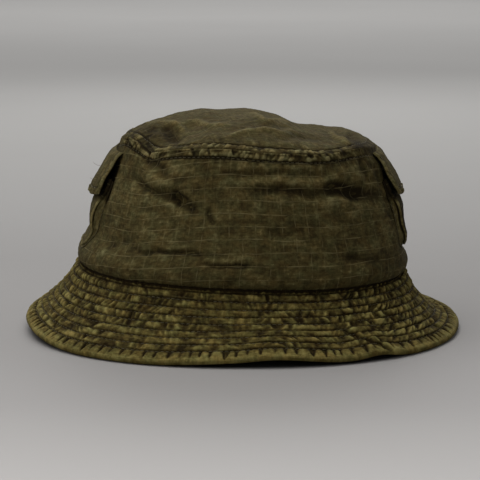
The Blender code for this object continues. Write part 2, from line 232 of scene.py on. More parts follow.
def side_t(sign, y, z):
    theta = np.arcsin(np.clip(y / (88 * MM), -1, 1))
    theta = theta if sign > 0 else math.pi - theta
    for _ in range(3):
        z0, z1 = seam_z(theta), top_z(theta)
        t = np.clip((z - z0) / (z1 - z0), -0.05, 1.05)
        a = wall_half(t)
        x = a * (1 - np.abs(y / wall_deep(t)) ** N_PLAN) ** (1 / N_PLAN)
        theta = np.arctan2(y, sign * x)
    return t, theta, x


def side_base(sign, y, z):
    t, theta, x = side_t(sign, y, z)
    return np.stack((lean(t) + sign * x + square_out(theta, t), y + 0 * x, z + 0 * x), -1)


def side_off(sign, y, z, out):
    e = 5e-4
    dy = side_base(sign, y + e, z) - side_base(sign, y - e, z)
    dz = side_base(sign, y, z + e) - side_base(sign, y, z - e)
    n = np.cross(dy, dz) * sign
    n /= np.linalg.norm(n, axis=-1, keepdims=True)
    return side_base(sign, y, z) + n * np.asarray(out)[..., None]


# where a point shows on an upright plane through the hat's middle, seen by the camera; millimetres
CAM_D, CAM_E = 1.2, math.radians(8.6)


def picture(p):
    up = p[..., 1] * math.sin(CAM_E) + (p[..., 2] - 0.06) * math.cos(CAM_E)
    depth = CAM_D + p[..., 1] * math.cos(CAM_E) - (p[..., 2] - 0.06) * math.sin(CAM_E)
    return p[..., 0] * CAM_D / depth / MM, up * CAM_D / depth / MM


def along(px, py, line):
    """Signed distance from a polyline (positive to its left), and how far along it, 0 to 1."""
    line = np.array(line, float)
    seg = np.linalg.norm(line[1:] - line[:-1], axis=1)
    start = np.concatenate(([0], np.cumsum(seg)))
    best = np.full(px.shape, 1e9)
    side = np.zeros(px.shape)
    where = np.zeros(px.shape)
    for k in range(len(seg)):
        d = (line[k + 1] - line[k]) / seg[k]
        qx, qy = px - line[k][0], py - line[k][1]
        s = np.clip(qx * d[0] + qy * d[1], 0, seg[k])
        dx, dy = qx - d[0] * s, qy - d[1] * s
        dist = np.hypot(dx, dy)
        cross = d[0] * qy - d[1] * qx
        closer = dist < best
        best = np.where(closer, dist, best)
        side = np.where(closer, np.sign(cross), side)
        where = np.where(closer, (start[k] + s) / start[-1], where)
    return best * side, where


def fold(px, py, line, width, deep, shoulder=0.5, taper=0.25, wobble=0):
    """A crease along a line: a valley with a soft shoulder to the left of the line (above, for a line running to +X)."""
    if wobble:
        px = px + noise2(px / 9, py / 9, 11) * wobble
        py = py + noise2(px / 9, py / 9, 12) * wobble
    d, s = along(px, py, line)
    ends = smooth(s, 0, taper) * (1 - smooth(s, 1 - taper, 1))
    valley = -deep * np.exp(-(d / width) ** 2)
    bulge = deep * shoulder * np.exp(-((d - 1.9 * width) / (1.5 * width)) ** 2)
    bulge = bulge + deep * shoulder * 0.6 * np.exp(-((d + 1.9 * width) / (1.7 * width)) ** 2)
    return (valley + bulge) * ends


# ---------------------------------------------------------------- mesh makers
def grid_faces(nu, nv, base=0, flip=False, ring=False):
    """Quads of a grid of vertices stored u-major, nv + 1 to a column; in a ring the last column is followed by the first."""
    i = np.arange(nu)[:, None] * (nv + 1) + np.arange(nv)[None, :]
    j = (i + nv + 1) % (nu * (nv + 1)) if ring else i + nv + 1
    quads = np.stack((i, j, j + 1, i + 1), -1).reshape(-1, 4) + base
    return quads[:, ::-1] if flip else quads


def shell(name, outer, inner, wear_and_shade, grain, mat, body=None, slot=None, replaces=(), ring=False, cap=False):
    """A cloth ply: a fine outer face, a coarse inner face, and a rim that joins them.  Grids are (u, v, 3).
    A ring closes along u, its last column lying on its first; a capped one is closed in the middle, at the end of v."""
    nu, nv = outer.shape[0] - 1, outer.shape[1] - 1
    mu, mv = inner.shape[0] - 1, inner.shape[1] - 1
    ku, kv = nu // mu, nv // mv
    assert mu * ku == nu and mv * kv == nv, (name, nu, nv, mu, mv)
    in_wear_and_shade, in_grain = wear_and_shade[::ku, ::kv], grain[::ku, ::kv]
    if ring:
        outer, inner, wear_and_shade, grain, in_wear_and_shade, in_grain = (g[:-1] for g in (outer, inner, wear_and_shade, grain, in_wear_and_shade, in_grain))
    verts = np.concatenate((outer.reshape(-1, 3), inner.reshape(-1, 3)))
    base = outer.shape[0] * (nv + 1)
    faces = [tuple(q) for q in grid_faces(nu, nv, 0, False, ring).tolist()]
    faces += [tuple(q) for q in grid_faces(mu, mv, base, True, ring).tolist()]

    def o(i, j):
        return (i % outer.shape[0]) * (nv + 1) + j

    def n(i, j):
        return base + (i % inner.shape[0]) * (mv + 1) + j

    for k in range(mu):
        fine = [o(k * ku + d, 0) for d in range(ku + 1)]
        faces.append(tuple([n(k, 0), n(k + 1, 0)] + fine[::-1]))
        if not cap:
            fine = [o(k * ku + d, nv) for d in range(ku + 1)]
            faces.append(tuple([n(k + 1, mv), n(k, mv)] + fine))
    if cap:
        faces.append(tuple(o(i, nv) for i in range(nu)))
        faces.append(tuple(n(i, mv) for i in range(mu))[::-1])
    if not ring:
        for k in range(mv):
            fine = [o(0, k * kv + d) for d in range(kv + 1)]
            faces.append(tuple([n(0, k + 1), n(0, k)] + fine))
            fine = [o(nu, k * kv + d) for d in range(kv + 1)]
            faces.append(tuple([n(mu, k), n(mu, k + 1)] + fine[::-1]))
    full_wear_and_shade = np.concatenate((wear_and_shade.reshape(-1), in_wear_and_shade.reshape(-1) * 0.3))
    full_grain = np.concatenate((grain.reshape(-1, 2), in_grain.reshape(-1, 2)))
    return make(name, verts, faces, mat, full_wear_and_shade, full_grain, body, slot, replaces)


def make(name, verts, faces, mat, wear_and_shade=None, grain=None, body=None, slot=None, replaces=()):
    mesh = bpy.data.meshes.new(name)
    mesh.from_pydata(np.asarray(verts).tolist(), [], faces)
    # the wear attribute holds real wear and painted shade: darker in hollows, grooves and under other parts
    if wear_and_shade is not None:
        mesh.attributes.new("wear_and_shade", "FLOAT", "POINT").data.foreach_set("value", np.asarray(wear_and_shade, np.float32))
    if grain is not None:
        g = np.zeros((len(grain), 3), np.float32)
        g[:, :2] = grain
        mesh.attributes.new("grain", "FLOAT_VECTOR", "POINT").data.foreach_set("vector", g.ravel())
    mesh.materials.append(mat)
    mesh.shade_smooth()
    mesh.validate()
    obj = bpy.data.objects.new(name, mesh)
    bpy.context.scene.collection.objects.link(obj)
    if body:
        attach(obj, body)
    if replaces:
        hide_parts(*replaces)
    return obj


def stitches(name, path, normal, mat, length, gap, radius, lift, **kw):
    """Single machine stitches along a path of points, each a small bowed cord that dips into the cloth at both ends."""
    path, normal = np.asarray(path), np.asarray(normal)
    seg = np.linalg.norm(path[1:] - path[:-1], axis=1)
    s = np.concatenate(([0], np.cumsum(seg)))
    count = max(int(s[-1] / (length + gap)), 1)
    pitch = s[-1] / count
    rings, sides = 4, 5
    f = np.array((0.0, 0.28, 0.72, 1.0))
    rise = np.array((-0.9, 0.55, 0.55, -0.9)) * radius
    fat = np.array((0.55, 1.0, 1.0, 0.55)) * radius
    at = (np.arange(count)[:, None] * pitch + gap / 2 + f[None] * (pitch - gap))
    P = np.stack([np.interp(at, s, path[:, k]) for k in range(3)], -1)
    N = np.stack([np.interp(at, s, normal[:, k]) for k in range(3)], -1)
    N /= np.linalg.norm(N, axis=-1, keepdims=True)
    T = np.gradient(P, axis=1)
    T /= np.linalg.norm(T, axis=-1, keepdims=True)
    B = np.cross(T, N)
    P = P + N * (rise + lift)[None, :, None]
    ang = np.arange(sides) * 2 * math.pi / sides
    V = (P[:, :, None] + N[:, :, None] * (np.cos(ang)[None, None, :, None] * fat[None, :, None, None])
         + B[:, :, None] * (np.sin(ang)[None, None, :, None] * fat[None, :, None, None]))
    faces = []
    per = rings * sides
    quad = []
    for r in range(rings - 1):
        for k in range(sides):
            quad.append((r * sides + k, r * sides + (k + 1) % sides, (r + 1) * sides + (k + 1) % sides, (r + 1) * sides + k))
    quad = np.array(quad)
    allq = (quad[None] + (np.arange(count) * per)[:, None, None]).reshape(-1, 4)
    faces = [tuple(q) for q in allq.tolist()]
    for c in range(count):
        faces.append(tuple(c * per + np.arange(sides)[::-1].astype(int)))
        faces.append(tuple(c * per + (rings - 1) * sides + np.arange(sides).astype(int)))
    faces = [tuple(int(i) for i in face) for face in faces]
    wear_and_shade = np.tile(noise2(np.arange(count) * 0.31, np.zeros(count), 5)[:, None] * 0.5, (1, per)).reshape(-1)
    grain = np.stack((np.repeat(at, sides, axis=1).reshape(-1), np.tile(ang, count * rings)), -1)
    return make(name, V.reshape(-1, 3), faces, mat, wear_and_shade, grain, **kw)


# ---------------------------------------------------------------- materials
class Graph:
    """A short way to wire shader nodes."""

    def __init__(self, name):
        self.mat = bpy.data.materials.new(name)
        self.mat.use_nodes = True
        self.tree = self.mat.node_tree
        self.shader = self.tree.nodes["Principled BSDF"]

    def node(self, kind, **settings):
        made = self.tree.nodes.new(kind)
        for k, v in settings.items():
            setattr(made, k, v)
        return made

    def put(self, socket, value):
        if hasattr(value, "is_output"):
            self.tree.links.new(value, socket)
        elif value is not None:
            socket.default_value = value

    def math(self, op, a, b=None, c=None, clamp=False):
        made = self.node("ShaderNodeMath", operation=op, use_clamp=clamp)
        for socket, value in zip(made.inputs, (a, b, c)):
            self.put(socket, value)
        return made.outputs[0]

    def mapped(self, vector, scale):
        made = self.node("ShaderNodeMapping")
        self.put(made.inputs["Vector"], vector)
        made.inputs["Scale"].default_value = scale
        return made.outputs[0]

    def noise(self, vector, scale, detail=2.0, rough=0.5):
        made = self.node("ShaderNodeTexNoise")
        self.put(made.inputs["Vector"], vector)
        made.inputs["Scale"].default_value = scale
        made.inputs["Detail"].default_value = detail
        made.inputs["Roughness"].default_value = rough
        return made.outputs["Fac"]

    def ramp(self, value, stops):
        made = self.node("ShaderNodeValToRGB")
        self.put(made.inputs["Fac"], value)
        ramp = made.color_ramp
        while len(ramp.elements) < len(stops):
            ramp.elements.new(0.5)
        for element, (at, colour) in zip(ramp.elements, stops):
            element.position = at
            element.color = (*colour, 1)
        return made.outputs["Color"]

    def mix(self, share, a, b):
        made = self.node("ShaderNodeMix", data_type="RGBA")
        self.put(made.inputs["Factor"], share)
        self.put(made.inputs["A"], a)
        self.put(made.inputs["B"], b)
        return made.outputs["Result"]

    def attribute(self, name):
        return self.node("ShaderNodeAttribute", attribute_name=name)


def ripstop(name, stops, pale, wear_and_shade_gain=0.5, line=0.5, base=0.5, pitch=7.3, blotch=1.0, weave=1.0, cross=0.4):
    """Washed ripstop cotton: light on its ridges and dark in its hollows, partly wear and partly painted shade, with
    slubs, a weave and pale rip lines.
    The grain attribute holds millimetres along the weft and the warp."""
    g = Graph(name)
    grain = g.attribute("grain").outputs["Vector"]
    wear_and_shade = g.attribute("wear_and_shade").outputs["Fac"]
    sep = g.node("ShaderNodeSeparateXYZ")
    g.put(sep.inputs[0], grain)
    x = g.math("MULTIPLY_ADD", g.noise(g.mapped(grain, (0.06, 0.06, 1)), 1.0, 2.0), 3.0, sep.outputs["X"])
    y = g.math("MULTIPLY_ADD", g.noise(g.mapped(grain, (0.035, 0.07, 1)), 1.0, 2.0), 3.6, sep.outputs["Y"])

    def rip(v, scale, least):
        f = g.math("FRACT", g.math("DIVIDE", v, pitch))
        d = g.math("MULTIPLY", g.math("ABSOLUTE", g.math("SUBTRACT", f, 0.5)), pitch)
        near = g.node("ShaderNodeMapRange", interpolation_type="SMOOTHSTEP")
        g.put(near.inputs["Value"], d)
        near.inputs["From Min"].default_value = 0.36
        near.inputs["From Max"].default_value = 0.06
        broken = g.noise(g.mapped(grain, scale), 1.0, 3.0, 0.65)
        broken = g.math("MULTIPLY", g.math("SUBTRACT", broken, least), 6.0, clamp=True)
        return g.math("MULTIPLY", near.outputs[0], broken), near.outputs[0]

    lines_x, relief_x = rip(x, (0.9, 0.13, 1), 0.46)
    lines_y, relief_y = rip(y, (0.10, 0.6, 1), 0.41)
    lines = g.math("MAXIMUM", g.math("MULTIPLY", lines_x, cross), lines_y)
    relief = g.math("MAXIMUM", relief_x, relief_y)

    slub_x = g.noise(g.mapped(grain, (0.11, 0.95, 1)), 1.0, 3.0, 0.65)
    slub_y = g.noise(g.mapped(grain, (0.95, 0.11, 1)), 1.0, 3.0, 0.65)
    cloud = g.noise(g.mapped(grain, (0.045, 0.06, 1)), 1.0, 4.0, 0.6)
    patch = g.noise(g.mapped(grain, (0.16, 0.20, 1)), 1.0, 3.0, 0.6)
    fleck = g.noise(g.mapped(grain, (0.42, 0.50, 1)), 1.0, 3.0, 0.65)
    spark = g.math("MULTIPLY", g.math("SUBTRACT", g.noise(g.mapped(grain, (1.1, 1.1, 1)), 1.0, 1.0, 0.5), 0.72), 6.0, clamp=True)
    value = g.math("MULTIPLY_ADD", wear_and_shade, wear_and_shade_gain, base)
    value = g.math("ADD", value, g.math("MULTIPLY", g.math("SUBTRACT", cloud, 0.5), 0.70 * blotch))
    value = g.math("ADD", value, g.math("MULTIPLY", g.math("SUBTRACT", patch, 0.5), 0.50 * blotch))
    value = g.math("ADD", value, g.math("MULTIPLY", g.math("SUBTRACT", slub_x, 0.5), 0.38))
    value = g.math("ADD", value, g.math("MULTIPLY", g.math("SUBTRACT", slub_y, 0.5), 0.34))
    value = g.math("ADD", value, g.math("MULTIPLY", g.math("SUBTRACT", fleck, 0.5), 0.90))
    value = g.math("ADD", value, g.math("MULTIPLY", spark, 0.4), clamp=True)
    hue = g.ramp(g.noise(g.mapped(grain, (0.13, 0.15, 1)), 1.0, 3.0, 0.6), ((0.36, (1.08, 0.985, 0.88)), (0.64, (0.94, 1.015, 1.01))))
    tint = g.node("ShaderNodeMix", data_type="RGBA", blend_type="MULTIPLY")
    tint.inputs["Factor"].default_value = 1.0
    g.put(tint.inputs["A"], g.ramp(value, stops))
    g.put(tint.inputs["B"], hue)
    colour = tint.outputs["Result"]
    colour = g.mix(g.math("MULTIPLY", lines, line), colour, (*pale, 1))
    g.put(g.shader.inputs["Base Color"], colour)
    g.put(g.shader.inputs["Roughness"], g.math("MULTIPLY_ADD", value, -0.10, 0.98))
    g.shader.inputs["Specular IOR Level"].default_value = 0.10

    # plain weave: threads of 0.42 mm over and under each other
    k = 2 * math.pi / 0.84
    over = g.math("MULTIPLY", g.math("SINE", g.math("MULTIPLY", sep.outputs["X"], k)), g.math("SINE", g.math("MULTIPLY", sep.outputs["Y"], k)))
    height = g.math("MULTIPLY_ADD", over, 0.16 * weave, g.math("MULTIPLY", g.math("ADD", slub_x, slub_y), 0.7))
    height = g.math("MULTIPLY_ADD", relief, 0.35, height)
    height = g.math("MULTIPLY_ADD", fleck, 1.1, height)
    height = g.math("MULTIPLY_ADD", patch, 1.2, height)
    bump = g.node("ShaderNodeBump")
    bump.inputs["Strength"].default_value = 0.75
    bump.inputs["Distance"].default_value = 0.30 * MM
    g.put(bump.inputs["Height"], height)
    g.put(g.shader.inputs["Normal"], bump.outputs["Normal"])
    return g.mat


def plain_cloth(name, dark, light, ribs=1.1, across="Y", rough=0.92):
    """Ribbed twill or brushed tape."""
    g = Graph(name)
    grain = g.attribute("grain").outputs["Vector"]
    sep = g.node("ShaderNodeSeparateXYZ")
    g.put(sep.inputs[0], grain)
    diagonal = g.math("ADD", sep.outputs["X"], sep.outputs["Y"])
    rib = g.math("SINE", g.math("MULTIPLY", diagonal, 2 * math.pi / ribs))
    cloud = g.noise(g.mapped(grain, (0.1, 0.1, 1)), 1.0, 4.0, 0.6)
    fleck = g.noise(g.mapped(grain, (1.3, 1.3, 1)), 1.0, 2.0, 0.6)
    value = g.math("ADD", g.math("MULTIPLY_ADD", rib, 0.12, g.math("MULTIPLY", cloud, 0.6)), g.math("MULTIPLY", fleck, 0.4), clamp=True)
    g.put(g.shader.inputs["Base Color"], g.ramp(value, ((0.25, dark), (0.8, light))))
    g.put(g.shader.inputs["Roughness"], g.math("MULTIPLY_ADD", cloud, 0.08, rough - 0.04))
    g.shader.inputs["Specular IOR Level"].default_value = 0.25
    bump = g.node("ShaderNodeBump")
    bump.inputs["Strength"].default_value = 0.5
    bump.inputs["Distance"].default_value = 0.15 * MM
    g.put(bump.inputs["Height"], g.math("ADD", rib, fleck))
    g.put(g.shader.inputs["Normal"], bump.outputs["Normal"])
    return g.mat


def thread_material(name, dark, light):
    g = Graph(name)
    grain = g.attribute("grain").outputs["Vector"]
    wear_and_shade = g.attribute("wear_and_shade").outputs["Fac"]
    sep = g.node("ShaderNodeSeparateXYZ")
    g.put(sep.inputs[0], grain)
    twist = g.math("SINE", g.math("MULTIPLY_ADD", sep.outputs["X"], 2 * math.pi / (0.5 * MM), sep.outputs["Y"]))
    value = g.math("MULTIPLY_ADD", twist, 0.15, g.math("MULTIPLY_ADD", wear_and_shade, 0.5, 0.5), clamp=True)
    g.put(g.shader.inputs["Base Color"], g.ramp(value, ((0.0, dark), (1.0, light))))
    g.put(g.shader.inputs["Roughness"], g.math("MULTIPLY_ADD", twist, 0.05, 0.75))
    bump = g.node("ShaderNodeBump")
    bump.inputs["Strength"].default_value = 0.4
    bump.inputs["Distance"].default_value = 0.05 * MM
    g.put(bump.inputs["Height"], twist)
    g.put(g.shader.inputs["Normal"], bump.outputs["Normal"])
    return g.mat


CROWN_STOPS = ((0.0, (0.0130, 0.0092, 0.0030)), (0.33, (0.0330, 0.0252, 0.0082)), (0.62, (0.0620, 0.0502, 0.0175)), (1.0, (0.155, 0.131, 0.058)))
BRIM_STOPS = ((0.0, (0.0110, 0.0068, 0.0014)), (0.33, (0.0370, 0.0270, 0.0070)), (0.60, (0.0840, 0.0665, 0.0185)), (1.0, (0.200, 0.167, 0.056)))
CROWN_PALE, BRIM_PALE = (0.172, 0.144, 0.068), (0.190, 0.160, 0.070)
crown_cloth = ripstop("ripstop_crown", CROWN_STOPS, CROWN_PALE, wear_and_shade_gain=0.55, line=0.60, base=0.505, cross=0.85)
top_cloth = ripstop("ripstop_top", CROWN_STOPS, CROWN_PALE, wear_and_shade_gain=0.50, line=0.26, base=0.53, cross=0.85, blotch=0.35)
brim_cloth = ripstop("ripstop_brim", BRIM_STOPS, BRIM_PALE, wear_and_shade_gain=0.56, line=0.18, base=0.425, blotch=1.1, cross=0.8)
flap_cloth = ripstop("ripstop_flap", CROWN_STOPS, CROWN_PALE, wear_and_shade_gain=0.55, line=0.25, base=0.54, cross=0.75)
inside_cloth = ripstop("ripstop_inside", CROWN_STOPS, CROWN_PALE, wear_and_shade_gain=0.30, line=0.30, base=0.36)
twill = plain_cloth("cotton_twill", (0.028, 0.023, 0.011), (0.080, 0.068, 0.034))
canvas = plain_cloth("canvas", (0.22, 0.20, 0.16), (0.42, 0.38, 0.30), ribs=0.9)
hooks_cloth = plain_cloth("brushed_tape", (0.012, 0.011, 0.006), (0.045, 0.040, 0.022), ribs=0.7, rough=0.85)
thread = thread_material("olive_thread", (0.030, 0.024, 0.009), (0.105, 0.090, 0.040))
pale_thread = thread_material("worn_thread", (0.070, 0.060, 0.026), (0.170, 0.150, 0.075))


def blur(h, ku, kv):
    """Box blur of a height grid, for finding what stands above its surroundings."""
    def one(a, k, axis):
        if k < 1:
            return a
        pad = [(0, 0), (0, 0)]
        pad[axis] = (k + 1, k)
        c = np.cumsum(np.pad(a, pad, mode="edge"), axis=axis)
        n = a.shape[axis]
        if axis == 0:
            return (c[2 * k + 1:2 * k + 1 + n] - c[:n]) / (2 * k + 1)
        return (c[:, 2 * k + 1:2 * k + 1 + n] - c[:, :n]) / (2 * k + 1)
    for _ in range(2):
        h = one(one(h, ku, 0), kv, 1)
    return h


def fine(n, k):
    """A grid count near n * FINE that k divides."""
    return max(int(round(n * FINE / k)), 2) * k


# ---------------------------------------------------------------- crown wall
FRONT_FOLDS = (
    # line in picture millimetres, width, depth, shoulder
    (((-17, 28.5), (-2, 29), (20, 29.5), (45, 29.5), (62, 27)), 2.4, 0.85, 0.5),
    (((-4, 19), (10, 19.5), (26, 20.5), (42, 18), (56, 19.5), (70, 17), (92, 16)), 2.7, 1.25, 0.6),
    (((50, 23), (62, 21), (74, 19)), 3.0, 1.8, 0.4),
    (((-68, 32), (-61, 24.5), (-53, 19), (-41, 16.5), (-31, 9), (-22, 6)), 2.2, 1.3, 0.55),
    (((-42, 19), (-38, 15), (-34, 12)), 2.8, 1.6, 0.3),
    (((-21.5, 10), (-18.5, 4), (-17.5, -3)), 1.5, 0.8, 0.4),
    (((-70, -17.0), (-45, -17.5), (-18, -19.5)), 1.3, 0.75, 0.3),
    (((-27, -25.5), (-8, -26.2), (10, -26.5)), 1.3, 0.75, 0.3),
    (((-60, 43), (-54, 37), (-51, 33)), 2.4, 1.1, 0.3),
    (((-50, 36), (-48, 28), (-46, 22)), 2.6, 0.7, 0.4),
    (((70, 42), (72, 32), (77, 22)), 1.7, 0.7, 0.5),
    (((76, 38), (82, 28), (86, 19)), 1.5, 0.7, 0.5),
    (((84, 18), (92, 14), (90, 4), (93, -3)), 1.6, 0.9, 0.4),
    (((58, -22), (76, -23), (88, -21)), 2.2, 0.6, 0.3),
    (((10, -6), (26, -8), (40, -4)), 2.0, 0.45, 0.3),
    (((-86, -8), (-78, -14), (-66, -8)), 2.4, 0.55, 0.3),
)


def gathers(s, wave, seed, slack=1.0):
    """Irregular rounded gathers along s: 0 in the gaps between them, up to 1 on their backs."""
    at = (s + wave * slack * (noise2(s / (wave * 3.3), s * 0 + 0.5, seed) + noise2(s / (wave * 9.1), s * 0 + 0.5, seed + 1))) / wave
    k = np.floor(at)
    size = 0.30 + 0.70 * _hash(k.astype(np.int64), np.zeros(k.shape, np.int64), np.zeros(k.shape, np.int64), seed)
    return np.sqrt(np.maximum(1 - (2 * (at - k) - 1) ** 2, 0)) * size


SLITS = (
    # short gaps between the gathers, dented in and painted dark as shade, in picture millimetres, with a width and a
    # strength
    (((45.2, 43.6), (46.8, 40.9)), 0.6, 0.6), (((48.4, 44.2), (51.2, 41.0)), 0.5, 0.5), (((52.6, 44.6), (54.2, 42.4)), 0.7, 0.5),
    (((58.0, 45.2), (61.2, 43.0)), 0.6, 0.6), (((40.4, 41.1), (41.6, 40.2)), 1.0, 1.3), (((28.6, 43.2), (29.8, 40.6)), 0.5, 0.5),
    (((-30.4, 44.8), (-29.2, 41.2)), 0.6, 0.8), (((-20.5, 44.6), (-20.0, 41.8)), 0.5, 0.7), (((-6.0, 43.8), (-5.4, 41.4)), 0.5, 0.6),
    (((-66.0, 52.5), (-60.5, 47.0), (-55.5, 42.0)), 0.8, 0.9), (((-57.5, 47.5), (-53.5, 43.5)), 0.8, 0.9), (((-69.5, 50.0), (-66.5, 45.5)), 0.8, 0.6),
)


def slits(px, py):
    total = 0
    for line, width, strength in SLITS:
        d, _ = along(px, py, line)
        total = total + strength * np.exp(-(d / width) ** 2)
    return total


def shows(px, facing):
    """How much of the seam's gathered band stands out; it flattens into folds at both ends of the front."""
    return 1 - facing * (1 - smooth(px, -74, -67) * (1 - smooth(px, 64, 73)))


def patches(px, py, spots):
    total = 0
    for cx, cy, wide, high, turn, strength in spots:
        c, s = math.cos(math.radians(turn)), math.sin(math.radians(turn))
        a, b = (px - cx) * c + (py - cy) * s, (py - cy) * c - (px - cx) * s
        total = total + strength * np.exp(-(a / wide) ** 2 - (b / high) ** 2)
    return total


# painted shade in hollows and under folds of the cloth, painted light where the strength is negative: middle, half
# lengths, turn, strength
WALL_SHADE_SPOTS = (
    (-38, 24, 14, 3.2, -38, 0.45), (-39, 21, 5, 6, 0, 0.35), (-31, 8.5, 3, 3.5, 0, 0.35), (66, 20, 14, 3.5, -4, 0.55), (20, 21, 14, 3.2, -3, 0.35),
    (41, 19.5, 6, 2.5, 0, 0.35), (4, 30, 16, 2.2, 0, 0.22), (58, 31, 8, 5, -30, 0.25), (78, 30, 5, 9, 20, 0.30), (-36, -18.6, 18, 1.4, -3, 0.75),
    (-5, -26.2, 13, 1.5, -1, 0.85), (10, 24.5, 34, 4.5, 0, -0.20), (-55, 5, 22, 14, 0, -0.10), (74, -20, 14, 5, 0, 0.22), (26, -1, 30, 4, 0, 0.10),
)
TOP_SHADE_SPOTS = (
    (-55, 53, 11, 7, -25, 0.62), (-43, 54, 5, 5.5, 20, 0.30), (70, 45, 6, 5, -40, 0.8), (45, 55, 16, 4, -15, 0.20), (-20, 50, 20, 2.5, 0, 0.15),
)


def wall_parts(theta, t, p):
    """How far the wall's cloth stands off its even shape, in millimetres: its broad folds, and its small relief."""
    arc = theta * 88.0
    tall = t * 76.0
    px, py = picture(p)
    facing = smooth(-np.sin(theta), -0.05, 0.25)
    quiet = 1 - 0.85 * smooth(np.abs(np.cos(theta)), 0.86, 0.93) * smooth(tall, 10, 16)
    rear = 1 - facing
    broad = 1.2 * noise2(arc / 55, tall / 34, 1)
    long_folds = noise2(arc / 46 + 0.6 * noise2(arc / 30, tall / 20, 7), tall / 12.5, 2)
    broad = broad + (0.30 + 0.60 * rear) * (1 - np.abs(long_folds) * 2.2) * (0.4 + 0.6 * smooth(tall, 4, 16))
    broad = broad + 0.35 * noise2(arc / 15 + tall / 60, tall / 40, 3)
    folds = 0
    for line, width, deep, shoulder in FRONT_FOLDS:
        folds = folds + fold(px, py, line, width * 1.25, deep * 1.8, shoulder, wobble=1.8)
    folds = folds * facing
    calm = quiet * smooth(tall, -1, 9) * (1 - 0.75 * smooth(tall, 67, 72))
    broad = (broad + folds) * calm
    detail = 0.22 * (noise2(arc / 9, tall / 6.5, 4) + 0.6 * noise2(arc / 4.4, tall / 3.6, 5))
    detail = (detail + 0.12 * noise2(arc / 2.1, tall / 1.9, 6)) * calm

    broad = broad + 1.0 * turn_bell(theta, 0, 32) * bell(t, 0.08, 0.07)
    # under each flap the wall sinks back
    under = smooth(-np.cos(theta), 0.885, 0.915) * smooth(p[..., 2] / MM, 74, 80) * (1 - smooth(p[..., 2] / MM, 98, 103))
    broad = broad - 0.8 * under

    # the base turns under over the brim seam
    broad = broad - 0.7 * (1 - smooth(tall, -0.2, 1.4)) + 0.4 * bell(tall, 3.0, 2.0)
    detail = detail + 0.22 * noise2(arc / 3.4, tall / 9, 8) * (1 - smooth(tall, 3, 10))

    # top seam: the turned allowance bunches up between the seam and its row of topstitching
    below = (1 - t) * 76.0
    slump = turn_bell(theta, -16, 22)
    ends = shows(px, facing)
    band = (1 - smooth(below, 4.2, 5.2)) * smooth(below, -0.6, 0.8) * (0.35 + 0.65 * ends)
    amount = np.clip(0.75 + 0.75 * noise2(arc / 16, below * 0, 9), 0.15, 1.3) * (1 - 0.6 * slump)
    lean_in = 0.55 - 1.9 * smooth(px, 36, 48) * facing
    bunch = gathers(arc + lean_in * below + 1.2 * noise2(arc / 5, below / 4, 16), 3.3, 10) * (0.75 + 0.6 * noise2(arc / 2.2, below / 2.6, 13))
    detail = detail + band * (0.15 + 1.35 * amount * bunch)
    detail = detail + band * 0.5 * noise2(arc / 6.5, below / 5, 17)
    detail = detail - 0.95 * bell(below, 4.85, 0.75) * (0.8 + 0.5 * noise2(arc / 3.4, below * 0, 14)) * (1 - 0.5 * slump) * ends
    detail = detail + 0.55 * amount * noise2(arc / 3.6, below / 9, 15) * bell(below, 6.6, 2.6)
    detail = detail - 1.1 * slits(px, py) * facing
    # the wall fills out under the right flap's root
    broad = broad + 1.8 * turn_bell(theta, 2, 26) * bell(p[..., 2] / MM, 97.5, 4.6)
    return broad, detail, folds * calm


def wall_height(theta, t, p):
    broad, detail, _ = wall_parts(theta, t, p)
    return broad + detail


